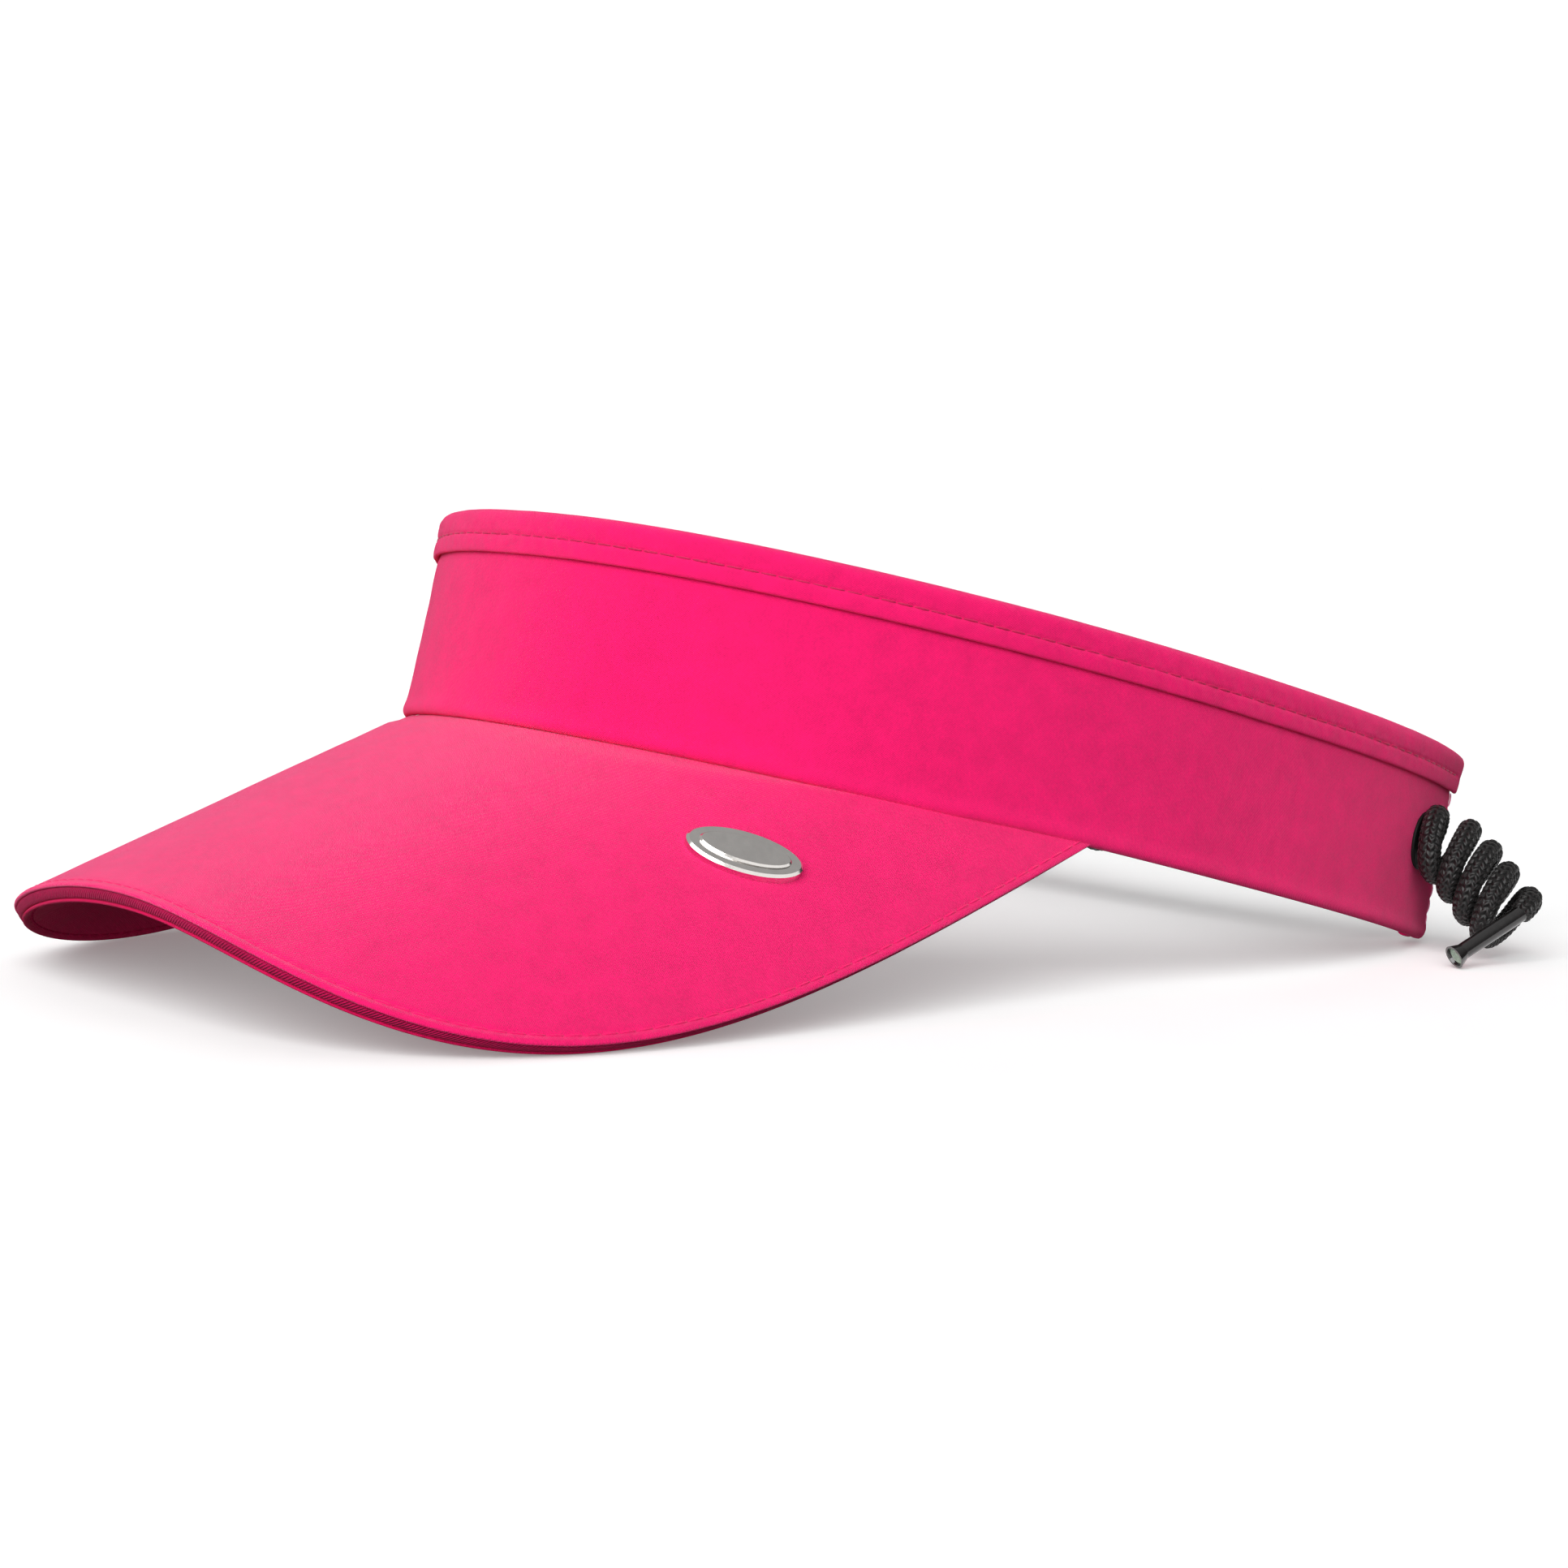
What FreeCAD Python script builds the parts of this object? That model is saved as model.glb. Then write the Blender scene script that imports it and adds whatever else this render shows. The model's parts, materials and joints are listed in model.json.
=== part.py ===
import FreeCAD, Part
import math
import os

# A sun visor with an arched brim, an open band and a coiled elastic lace at the back.
# Millimetres. The visor is drawn first in the band's own frame: the band's lower edge lies in z = 0,
# the wearer looks along -Y and the wearer's left is +X. tipped() then leans the whole visor forward
# onto the table, where it rests on the brim's two low edges and the band's two rear corners.

Vector = FreeCAD.Vector

# Band outline, measured on the outer fabric
BAND_HALF_WIDTH = 77.5
BAND_FRONT_DEPTH = 100.5
BAND_REAR_DEPTH = 111.6
BAND_FULLNESS = 0.889      # exponent of the rounded outline, 1 is an ellipse
BAND_EGG = 0.151           # how much narrower the front is than the back
BAND_HEIGHT = 35.6
BAND_END_ANGLE = 131.3     # where the band stops, from the front
HINGE_ANGLE = 80.0         # where the rear wings start to flex
HINGE_GAP = 1.2
CORNER_RADIUS = 4.0

# Layers of the band, counted inwards from the outer fabric's face
OUTER_FABRIC = 0.8
STIFFENER_DEPTH = 1.8
ALLOWANCE_DEPTH = 2.4
BAND_DEPTH = 3.4
HEM_HEIGHT = 7.4
HEM_CLOTH = 0.8
ALLOWANCE_HEIGHT = 7.0

# Brim
BRIM_SLOPE = 0.654         # fall towards the front for each millimetre
BRIM_ARCH_HEIGHT = 109.7
BRIM_ARCH_HALF_WIDTH = 85.95
BRIM_ARCH_POWER = 2.18
BRIM_HALF_WIDTH = 73.6
BRIM_CENTRE_Y = 14.5
BRIM_CORNER_Y = -24.0      # where the brim's edge ends, under the band
BRIM_ROOT_ANGLE = 71.0     # where the brim's sewn edge ends
BRIM_LENGTH = 60.0         # how far the brim stands out in front of the band
BRIM_SIDE_POWER = 0.701
BRIM_FRONT_POWER = 0.4
COVER = 0.6
BRIM_THICKNESS = 3.4
EDGE_STRIP = 0.8
LAYER_GAP = 0.03           # between sewn layers, so that none share a face

# Badge on the brim's left side
BADGE_X = 56.9
BADGE_Y = -86.5
BADGE_TURN = 50.3          # direction of its long axis in plan
BADGE_LENGTH = 19.0
BADGE_WIDTH = 8.4
BADGE_HEIGHT = 2.0
BADGE_POST_SPACING = 9.0
BADGE_POST_RADIUS = 0.6
BADGE_POST_DEPTH = 1.9
BADGE_WASHER_RADIUS = 2.6
BADGE_WASHER_SHEET = 0.4

# Eyelets and lace
EYELET_FROM_END = 17.0
EYELET_HEIGHT = 17.2
EYELET_BORE = 2.6
EYELET_BARREL = 3.4
EYELET_FLANGE = 5.4
EYELET_SHEET = 0.6
LACE_RADIUS = 2.1
COIL_RADIUS = 7.7          # outside radius of the coiled lace
COIL_MEAN = 5.6
TAIL_STRAIGHT = 0.2
TAIL_BEND_RADIUS = 10.0
TAIL_BEND = 43.0
TAIL_END = 12.6
BRIDGE_STRAIGHT = 3.0
BRIDGE_BEND_RADIUS = 40.0
AGLET_LENGTH = 16.3
AGLET_BELL = 2.0
AGLET_RADIUS = 1.5
AGLET_BORE = 1.1
AGLET_FLARE = 2.2
AGLET_PHASE = 52.0         # how far past its top the last turn runs before the aglet


# ---------------------------------------------------------------- outlines

def power(value, exponent):
    return math.copysign(abs(value) ** exponent, value)


def band_point(angle):
    """A point of the band's outer outline; angle runs from the front towards the wearer's left."""
    turn = math.radians(angle)
    depth = BAND_FRONT_DEPTH if math.cos(turn) > 0 else BAND_REAR_DEPTH
    x = BAND_HALF_WIDTH * power(math.sin(turn), BAND_FULLNESS) * (1 - BAND_EGG * math.cos(turn))
    y = -depth * power(math.cos(turn), BAND_FULLNESS)
    return Vector(x, y, 0)


def band_tangent(angle):
    step = 0.5
    return (band_point(angle + step) - band_point(angle - step)).normalize()


def band_normal(angle):
    """Points out of the band."""
    along = band_tangent(angle)
    return Vector(along.y, -along.x, 0)


def inset_point(angle, inset, z=0.0):
    return band_point(angle) - band_normal(angle) * inset + Vector(0, 0, z)


def angle_after(angle, distance):
    """Walk along the outline by a distance, backwards when it is negative."""
    step = math.copysign(0.05, distance)
    left = abs(distance)
    while left > 0:
        left -= (band_point(angle + step) - band_point(angle)).Length
        angle += step
    return angle


def spaced(points, count):
    """The same line with its points evenly spaced."""
    lengths = [0.0]
    for first, second in zip(points, points[1:]):
        lengths.append(lengths[-1] + (second - first).Length)
    result = []
    place_in_line = 0
    for index in range(count):
        wanted = lengths[-1] * index / (count - 1)
        while place_in_line < len(points) - 2 and lengths[place_in_line + 1] < wanted:
            place_in_line += 1
        start = points[place_in_line]
        gap = lengths[place_in_line + 1] - lengths[place_in_line]
        share = (wanted - lengths[place_in_line]) / gap
        result.append(start + (points[place_in_line + 1] - start) * share)
    return result


def smooth_curve(points):
    curve = Part.BSplineCurve()
    curve.interpolate(points)
    return curve.toShape()


# ---------------------------------------------------------------- band

END_ANGLE = BAND_END_ANGLE
CAP_ANGLE = angle_after(END_ANGLE, -OUTER_FABRIC)
FRONT_STOP = angle_after(HINGE_ANGLE, -HINGE_GAP / 2)
WING_START = angle_after(HINGE_ANGLE, HINGE_GAP / 2)
EYELET_ANGLE = angle_after(END_ANGLE, -EYELET_FROM_END)


def band_wall(start, stop, inset_a, inset_b, z_low, z_high):
    """A length of wall between two depths, following the band's outline."""
    count = max(5, round(abs(stop - start) / 4))
    angles = [start + (stop - start) * i / count for i in range(count + 1)]
    outer = [inset_point(a, inset_a, z_low) for a in angles]
    inner = [inset_point(a, inset_b, z_low) for a in angles]
    edges = [
        smooth_curve(outer),
        Part.makeLine(outer[-1], inner[-1]),
        smooth_curve(inner),
        Part.makeLine(inner[0], outer[0]),
    ]
    face = Part.Face(Part.Wire(Part.__sortEdges__(edges)))
    return face.extrude(Vector(0, 0, z_high - z_low))


def cylinder(centre, axis, radius, length):
    return Part.makeCylinder(radius, length, centre, axis)


def rounded_corner_tool():
    """Takes the sharp lower corner off the left wing's rear end."""
    centre = inset_point(END_ANGLE, -3.0) - band_tangent(END_ANGLE) * CORNER_RADIUS
    block = Part.makeBox(2 * CORNER_RADIUS, 2 * BAND_DEPTH + 6, CORNER_RADIUS + 2)
    block.translate(Vector(0, 0, -2))
    block.rotate(Vector(0, 0, 0), Vector(0, 0, 1), math.degrees(math.atan2(
        band_tangent(END_ANGLE).y, band_tangent(END_ANGLE).x)))
    block.translate(centre - band_normal(END_ANGLE) * (2 * BAND_DEPTH + 6))
    middle = centre + band_normal(END_ANGLE) * 10 + Vector(0, 0, CORNER_RADIUS)
    return block.cut(cylinder(middle, -band_normal(END_ANGLE), CORNER_RADIUS, 40))


def eyelet_axis():
    """Centre on the outer face, and the outward direction."""
    normal = band_normal(EYELET_ANGLE)
    return band_point(EYELET_ANGLE) + Vector(0, 0, EYELET_HEIGHT), normal


def eyelet():
    centre, normal = eyelet_axis()
    length = BAND_DEPTH + 2 * EYELET_SHEET
    start = centre - normal * (BAND_DEPTH + EYELET_SHEET)
    barrel = cylinder(start, normal, EYELET_BARREL, length)
    flange = cylinder(centre, normal, EYELET_FLANGE, EYELET_SHEET)
    solid = barrel.fuse(flange).removeSplitter()
    round_trip = 2 * math.pi * EYELET_FLANGE
    rim = [e for e in solid.Edges if abs(e.Length - round_trip) < 0.01]
    solid = solid.makeFillet(EYELET_SHEET * 0.45, rim)
    return solid.cut(cylinder(start - normal, normal, EYELET_BORE, length + 2))


def eyelet_washer():
    centre, normal = eyelet_axis()
    start = centre - normal * (BAND_DEPTH + EYELET_SHEET)
    disc = cylinder(start, normal, EYELET_FLANGE, EYELET_SHEET)
    return disc.cut(cylinder(start - normal, normal, EYELET_BARREL, EYELET_SHEET + 2))


def wing_hole():
    """Clears the eyelet's barrel, and its washer where the sweatband curves in front of it."""
    centre, normal = eyelet_axis()
    start = centre - normal * (BAND_DEPTH + 6)
    hole = cylinder(start, normal, EYELET_BARREL, BAND_DEPTH + 12)
    pocket = cylinder(start, normal, EYELET_FLANGE, 6 + LAYER_GAP)
    return hole.fuse(pocket)


def hem(start, stop):
    """The folded cloth that wraps the band's top edge."""
    z_top = BAND_HEIGHT
    block = band_wall(start, stop, -HEM_CLOTH, BAND_DEPTH + HEM_CLOTH, z_top - HEM_HEIGHT, z_top)
    slot = band_wall(start, stop, 0, BAND_DEPTH, z_top - HEM_HEIGHT - 1, z_top - HEM_CLOTH)
    return block.cut(slot)


def wing_parts():
    """The left wing's pieces; the right wing is their mirror image."""
    corner = rounded_corner_tool()
    hole = wing_hole()
    z_top = BAND_HEIGHT - HEM_CLOTH
    cloth = band_wall(WING_START, CAP_ANGLE, 0, OUTER_FABRIC, 0, z_top)
    cap = band_wall(angle_after(CAP_ANGLE, -0.4), END_ANGLE, 0, BAND_DEPTH, 0, z_top)
    inside = band_wall(WING_START, CAP_ANGLE, OUTER_FABRIC, BAND_DEPTH + 1, -1, z_top + 1)
    cloth = cloth.fuse(cap.cut(inside)).removeSplitter()
    stiffener = band_wall(WING_START, CAP_ANGLE, OUTER_FABRIC, STIFFENER_DEPTH, 1, z_top)
    sweatband = band_wall(WING_START, CAP_ANGLE, STIFFENER_DEPTH, BAND_DEPTH, 1, z_top)
    return {
        "band_cloth": cloth.cut(corner).cut(hole),
        "band_stiffener": stiffener.cut(corner).cut(hole),
        "sweatband": sweatband.cut(corner).cut(hole),
        "top_hem": hem(WING_START, END_ANGLE),
        "eyelet": eyelet(),
        "eyelet_washer": eyelet_washer(),
    }


# ---------------------------------------------------------------- brim

def brim_height(x, y):
    """Height of the brim's upper face above the band's lower edge."""
    across = min(abs(x) / BRIM_ARCH_HALF_WIDTH, 0.9999)
    arch = 1 - (1 - across ** BRIM_ARCH_POWER) ** (1 / BRIM_ARCH_POWER)
    return BRIM_SLOPE * (y + BAND_FRONT_DEPTH) - BRIM_ARCH_HEIGHT * arch


def brim_normal(x, y):
    step = 0.05
    rise_x = (brim_height(x + step, y) - brim_height(x - step, y)) / (2 * step)
    rise_y = (brim_height(x, y + step) - brim_height(x, y - step)) / (2 * step)
    return Vector(-rise_x, -rise_y, 1).normalize()


def brim_edge_line(inset, corner_y=BRIM_CORNER_Y):
    """The brim's outer edge in plan, from the right corner round the front to the left corner."""
    line = []
    for index in range(1441):
        turn = math.radians(-90 + index / 8)
        x = BRIM_HALF_WIDTH * power(math.sin(turn), BRIM_SIDE_POWER)
        depth = BRIM_CENTRE_Y + BAND_FRONT_DEPTH + BRIM_LENGTH
        y = BRIM_CENTRE_Y - depth * abs(math.cos(turn)) ** BRIM_FRONT_POWER
        line.append(Vector(x, y, 0))
    line = [p for p in line if p.y < corner_y]
    moved = []
    for before, after in zip(line, line[1:]):
        along = (after - before).normalize()
        moved.append((before + after) * 0.5 + Vector(-along.y, along.x, 0) * inset)
    return moved


def brim_root_line(inset, limit=BRIM_ROOT_ANGLE):
    return [inset_point(-limit + 2 * limit * i / 240, inset) for i in range(241)]


def closed_sheet(grids):
    """The solid between two surfaces, each through its own grid of points."""
    faces = []
    for grid in grids:
        surface = Part.BSplineSurface()
        surface.interpolate(grid)
        faces.append(surface.toShape())
    sides = [Part.makeRuledSurface(a, b) for a, b in zip(faces[0].Edges, faces[1].Edges)]
    shell = Part.makeShell(faces + sides)
    shell.sewShape()
    solid = Part.makeSolid(shell)
    if solid.Volume < 0:
        solid.reverse()
    return solid


def brim_layer(root, edge, depth_a, depth_b):
    """A closed sheet between two plan lines and two depths under the brim's upper face."""
    across = 41
    deep = 9
    grids = []
    for depth in (depth_a, depth_b):
        grid = []
        for first, second in zip(spaced(root, across), spaced(edge, across)):
            row = []
            for index in range(deep):
                p = first + (second - first) * (index / (deep - 1))
                top = Vector(p.x, p.y, brim_height(p.x, p.y))
                row.append(top - brim_normal(p.x, p.y) * depth)
            grid.append(row)
        grids.append(grid)
    return closed_sheet(grids)


def brim_envelope():
    """The room the brim takes: the band's inner layers are trimmed to it."""
    root = brim_root_line(5.0, BRIM_ROOT_ANGLE + 2)
    return brim_layer(root, brim_edge_line(0, BRIM_CORNER_Y + 2.5), 0, 9.0)


def allowance_strip():
    """The brim cloth's seam allowance, turned up inside the band."""
    return band_wall(-68, 68, STIFFENER_DEPTH, ALLOWANCE_DEPTH, 0.2, ALLOWANCE_HEIGHT)


def inside_of_allowance():
    return band_wall(-80, 80, STIFFENER_DEPTH - LAYER_GAP, 16, -30, 30)


def brim_parts():
    edge = brim_edge_line(0)
    edge_inside = brim_edge_line(EDGE_STRIP)
    edge_strip_root = brim_edge_line(EDGE_STRIP - LAYER_GAP)
    board_root = brim_root_line(STIFFENER_DEPTH - 0.1)
    cloth_root = brim_root_line((STIFFENER_DEPTH + ALLOWANCE_DEPTH) / 2)
    below = BRIM_THICKNESS - COVER
    holes = badge_posts(0.05)
    skin = brim_layer(cloth_root, edge, 0, COVER)
    board = brim_layer(board_root, edge_inside, COVER + LAYER_GAP, below - LAYER_GAP)
    return {
        "brim_top_cloth": skin.fuse(allowance_strip()).removeSplitter().cut(holes),
        "brim_board": board.cut(inside_of_allowance()).cut(holes).cut(badge_washer_discs()),
        "brim_edge_strip": brim_layer(edge_strip_root, edge, COVER + LAYER_GAP, below - LAYER_GAP),
        "brim_under_cloth": brim_layer(board_root, edge, below, BRIM_THICKNESS),
    }


# ---------------------------------------------------------------- badge

def badge_frame():
    """Centre on the brim, then the directions along, across and out of the badge."""
    centre = Vector(BADGE_X, BADGE_Y, brim_height(BADGE_X, BADGE_Y))
    out = brim_normal(BADGE_X, BADGE_Y)
    turn = math.radians(BADGE_TURN)
    along = Vector(math.cos(turn), math.sin(turn), 0)
    along = (along - out * along.dot(out)).normalize()
    return centre, along, out.cross(along), out


def badge_post_centres():
    centre, along, across, out = badge_frame()
    centres = []
    for shift in (-BADGE_POST_SPACING / 2, BADGE_POST_SPACING / 2):
        p = centre + along * shift
        centres.append(Vector(p.x, p.y, brim_height(p.x, p.y)))
    return centres


def badge_posts(clearance):
    out = badge_frame()[3]
    posts = [cylinder(p - out * BADGE_POST_DEPTH, out, BADGE_POST_RADIUS + clearance, BADGE_POST_DEPTH + 1)
             for p in badge_post_centres()]
    return posts[0].fuse(posts[1])


def badge_washer_discs():
    out = badge_frame()[3]
    low = COVER + 0.6
    discs = [cylinder(p - out * low, out, BADGE_WASHER_RADIUS, BADGE_WASHER_SHEET)
             for p in badge_post_centres()]
    return Part.makeCompound(discs)


def badge():
    """A plain oval plate with a raised oval in the middle and two posts through the cloth."""
    centre, along, across, out = badge_frame()
    placement = FreeCAD.Placement(centre, FreeCAD.Rotation(along, across, out, "ZXY"))

    def oval(length, width, low, high):
        ellipse = Part.Ellipse(Vector(0, 0, low), length / 2, width / 2)
        face = Part.Face(Part.Wire(ellipse.toShape()))
        return face.extrude(Vector(0, 0, high - low))

    plate = oval(BADGE_LENGTH, BADGE_WIDTH, -3, BADGE_HEIGHT - 0.5)
    plate = plate.makeChamfer(0.4, plate.Faces[-1].Edges)
    raised = oval(BADGE_LENGTH - 4, BADGE_WIDTH - 3, 0.5, BADGE_HEIGHT)
    raised = raised.makeChamfer(0.3, raised.Faces[-1].Edges)
    body = plate.fuse(raised)
    body.Placement = placement
    body = body.cut(brim_envelope())
    return body.fuse(badge_posts(0)).removeSplitter()


# ---------------------------------------------------------------- front of the band

def front_cloth():
    """The outer fabric round the front; its lower edge lies on the brim."""
    z_top = BAND_HEIGHT - HEM_CLOTH
    columns = 40
    grids = []
    for inset in (LAYER_GAP, OUTER_FABRIC - LAYER_GAP):
        grid = []
        for index in range(columns + 1):
            foot = inset_point(FRONT_STOP * (2 * index / columns - 1), inset)
            low = brim_height(foot.x, foot.y) + LAYER_GAP
            grid.append([Vector(foot.x, foot.y, low + (z_top - low) * row / 4) for row in range(5)])
        grids.append(grid)
    return closed_sheet(grids)


def front_parts():
    trim = brim_envelope()
    z_top = BAND_HEIGHT - HEM_CLOTH
    stiffener = band_wall(-FRONT_STOP, FRONT_STOP, OUTER_FABRIC, STIFFENER_DEPTH, 1, z_top)
    behind = band_wall(-FRONT_STOP, FRONT_STOP, ALLOWANCE_DEPTH, BAND_DEPTH, 1, ALLOWANCE_HEIGHT)
    above = band_wall(-FRONT_STOP, FRONT_STOP, STIFFENER_DEPTH, BAND_DEPTH, ALLOWANCE_HEIGHT, z_top)
    sweatband = behind.fuse(above)
    return {
        "band_cloth_front": front_cloth(),
        "band_stiffener_front": stiffener.cut(trim),
        "sweatband_front": sweatband.cut(trim),
        "top_hem_front": hem(-FRONT_STOP, FRONT_STOP),
    }


# ---------------------------------------------------------------- lace

def bent_path(start, direction, first, radius, turn_to, last):
    """A straight run, a tangent arc and a straight run, and the point where they end."""
    angle = direction.getAngle(turn_to)
    reach = radius * math.tan(angle / 2)
    arc_start = start + direction * first
    corner = arc_start + direction * reach
    arc_end = corner + turn_to * reach
    inward = (turn_to - direction * turn_to.dot(direction)).normalize()
    centre = arc_start + inward * radius
    middle = centre + (corner - centre).normalize() * radius
    end = arc_end + turn_to * last
    wire = Part.Wire([
        Part.makeLine(start, arc_start),
        Part.Arc(arc_start, middle, arc_end).toShape(),
        Part.makeLine(arc_end, end),
    ])
    return wire, end


def tube(wire, start, direction, radius):
    ring = Part.Wire(Part.makeCircle(radius, start, direction))
    return wire.makePipeShell([ring], True, True)


def rest_tilt():
    """The visor tips until the brim's low edges and the band's rear corners share one plane."""
    rear = band_point(END_ANGLE)
    tilt = -math.pi
    for p in brim_edge_line(0):
        low = Vector(p.x, p.y, brim_height(p.x, p.y)) - brim_normal(p.x, p.y) * BRIM_THICKNESS
        tilt = max(tilt, math.atan2(rear.z - low.z, rear.y - low.y))
    return tilt


TILT = rest_tilt()
DOWN = Vector(0, math.sin(TILT), -math.cos(TILT))


def lace_frame():
    """The eyelet's centre, the outward direction and the forward direction along the band."""
    centre, normal = eyelet_axis()
    return centre, normal, -band_tangent(EYELET_ANGLE)


def tail_direction():
    normal = lace_frame()[1]
    level = (DOWN - normal * DOWN.dot(normal)).normalize()
    turn = math.radians(TAIL_BEND)
    return normal * math.cos(turn) + level * math.sin(turn)


def lace_parts():
    """The left half of the lace; the right half is its mirror image."""
    centre, normal, forward = lace_frame()
    outside = centre + normal * (EYELET_SHEET + 0.6)
    inside = centre - normal * (BAND_DEPTH + EYELET_SHEET + 1.0)
    neck = cylinder(inside, normal, LACE_RADIUS, (outside - inside).Length)
    towards = tail_direction()
    wire, coil_end = bent_path(outside, normal, TAIL_STRAIGHT, TAIL_BEND_RADIUS, towards, TAIL_END)
    tail = tube(wire, outside, normal, COIL_RADIUS)
    forward = (forward - towards * forward.dot(towards)).normalize()
    low = towards.cross(forward)
    low = low if low.dot(DOWN) > 0 else -low
    phase = math.radians(AGLET_PHASE)
    radial = forward * math.sin(phase) - low * math.cos(phase)
    aglet_way = forward * math.cos(phase) + low * math.sin(phase)
    aglet_start = coil_end + towards * (AGLET_RADIUS + 0.05) + radial * COIL_MEAN
    across = Vector(-1, 0, 0)
    angle = (-normal).getAngle(across)
    reach = BRIDGE_BEND_RADIUS * math.tan(angle / 2)
    run = inside.x - normal.x * (BRIDGE_STRAIGHT + reach) - reach
    wire = bent_path(inside, -normal, BRIDGE_STRAIGHT, BRIDGE_BEND_RADIUS, across, run)[0]
    return {
        "lace_tail": tail.fuse(neck),
        "lace_bridge": tube(wire, inside, -normal, COIL_RADIUS),
        "aglet": aglet(aglet_start, aglet_way),
        "aglet_plug": aglet_plug(aglet_start, aglet_way),
    }


def aglet(start, way):
    """A shrunk sleeve with a belled mouth."""
    sleeve_length = AGLET_LENGTH - AGLET_BELL
    mouth_start = start + way * sleeve_length
    sleeve = cylinder(start, way, AGLET_RADIUS, sleeve_length)
    mouth = Part.makeCone(AGLET_RADIUS, AGLET_FLARE, AGLET_BELL, mouth_start, way)
    bore = cylinder(start - way, way, AGLET_BORE, sleeve_length + 1)
    flare = Part.makeCone(AGLET_BORE, AGLET_FLARE - 0.4, AGLET_BELL, mouth_start, way)
    return sleeve.fuse(mouth).removeSplitter().cut(bore.fuse(flare))


def aglet_plug(start, way):
    """The lace's pressed end inside the sleeve."""
    sleeve_length = AGLET_LENGTH - AGLET_BELL
    core = cylinder(start, way, AGLET_BORE, sleeve_length)
    spread = AGLET_BORE + (AGLET_FLARE - 0.4 - AGLET_BORE) * 0.7
    mouth = Part.makeCone(AGLET_BORE, spread, AGLET_BELL * 0.7, start + way * sleeve_length, way)
    return core.fuse(mouth).removeSplitter()


def care_label():
    return band_wall(96, 103, BAND_DEPTH, BAND_DEPTH + 0.3, 5, 24)


# ---------------------------------------------------------------- writing the pieces

def tipped(shape):
    """From the band's frame to the visor standing on the table."""
    turned = shape.copy()
    turned.rotate(Vector(0, 0, 0), Vector(1, 0, 0), -math.degrees(TILT))
    return turned


def mirrored(shape):
    return shape.mirror(Vector(0, 0, 0), Vector(1, 0, 0))


def both_sides(group):
    pieces = {}
    for name, shape in group.items():
        pieces[name + "_left"] = tipped(shape)
        pieces[name + "_right"] = tipped(mirrored(shape))
    return pieces


sewn = {}
for group in (front_parts(), brim_parts()):
    for name, shape in group.items():
        sewn[name] = tipped(shape)
sewn["badge"] = tipped(badge())
sewn["badge_washers"] = tipped(badge_washer_discs().cut(badge_posts(0)))
sewn["care_label"] = tipped(care_label())
sewn.update(both_sides(wing_parts()))
lace = both_sides(lace_parts())

# The origin is the middle of the sewn visor's footprint, on the table
bounds = Part.makeCompound(list(sewn.values())).optimalBoundingBox(False)
to_origin = Vector(0, -(bounds.YMin + bounds.YMax) / 2, -bounds.ZMin)

os.makedirs("parts", exist_ok=True)
for pieces in (sewn, lace):
    for name, shape in pieces.items():
        shape.translate(to_origin)
        shape.exportStep("parts/" + name + ".step")
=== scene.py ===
import json
import math

import bmesh
import bpy
import numpy as np
from mathutils import Matrix, Vector


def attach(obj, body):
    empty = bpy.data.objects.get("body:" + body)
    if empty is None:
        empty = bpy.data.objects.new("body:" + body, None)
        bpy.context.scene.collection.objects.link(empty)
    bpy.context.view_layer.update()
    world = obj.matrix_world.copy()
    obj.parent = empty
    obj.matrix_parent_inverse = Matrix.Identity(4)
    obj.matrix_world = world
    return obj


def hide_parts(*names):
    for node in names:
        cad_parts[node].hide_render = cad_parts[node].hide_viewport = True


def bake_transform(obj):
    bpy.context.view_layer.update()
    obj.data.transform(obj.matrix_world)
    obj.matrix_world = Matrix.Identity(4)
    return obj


# A sun visor: arched brim, open band with a topstitched hem, and a coiled lace at the back.
# Shapes are worked out in millimetres in the band's own frame, where the band's lower edge lies in
# z = 0, the wearer looks along -Y and the wearer's left is +X; row() takes them to the CAD's frame.

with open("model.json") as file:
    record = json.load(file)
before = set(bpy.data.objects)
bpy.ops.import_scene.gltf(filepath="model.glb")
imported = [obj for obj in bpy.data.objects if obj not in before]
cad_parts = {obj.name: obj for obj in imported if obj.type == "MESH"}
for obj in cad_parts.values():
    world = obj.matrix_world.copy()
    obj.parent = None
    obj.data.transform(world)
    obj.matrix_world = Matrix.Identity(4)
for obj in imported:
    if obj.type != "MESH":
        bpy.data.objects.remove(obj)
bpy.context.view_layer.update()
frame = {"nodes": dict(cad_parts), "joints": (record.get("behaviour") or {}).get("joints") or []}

# ---- sizes, as in the CAD

BAND_HALF_WIDTH = 77.5
BAND_FRONT_DEPTH = 100.5
BAND_REAR_DEPTH = 111.6
BAND_FULLNESS = 0.889
BAND_EGG = 0.151
BAND_END_ANGLE = 131.3
HINGE_ANGLE = 80.0
BAND_DEPTH = 3.4
BRIM_SLOPE = 0.654
BRIM_ARCH_HEIGHT = 109.7
BRIM_ARCH_HALF_WIDTH = 85.95
BRIM_ARCH_POWER = 2.18
BRIM_HALF_WIDTH = 73.6
BRIM_CENTRE_Y = 14.5
BRIM_CORNER_Y = -24.0
BRIM_ROOT_ANGLE = 71.0
BRIM_LENGTH = 60.0
BRIM_SIDE_POWER = 0.701
BRIM_FRONT_POWER = 0.4
EYELET_FROM_END = 17.0
EYELET_HEIGHT = 17.2
LACE_RADIUS = 2.1
COIL_MEAN = 5.6
TAIL_STRAIGHT = 0.2
TAIL_BEND_RADIUS = 10.0
TAIL_BEND = math.radians(43)
TAIL_END = 12.6
BRIDGE_STRAIGHT = 3.0
BRIDGE_BEND_RADIUS = 40.0
AGLET_RADIUS = 1.5
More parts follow.
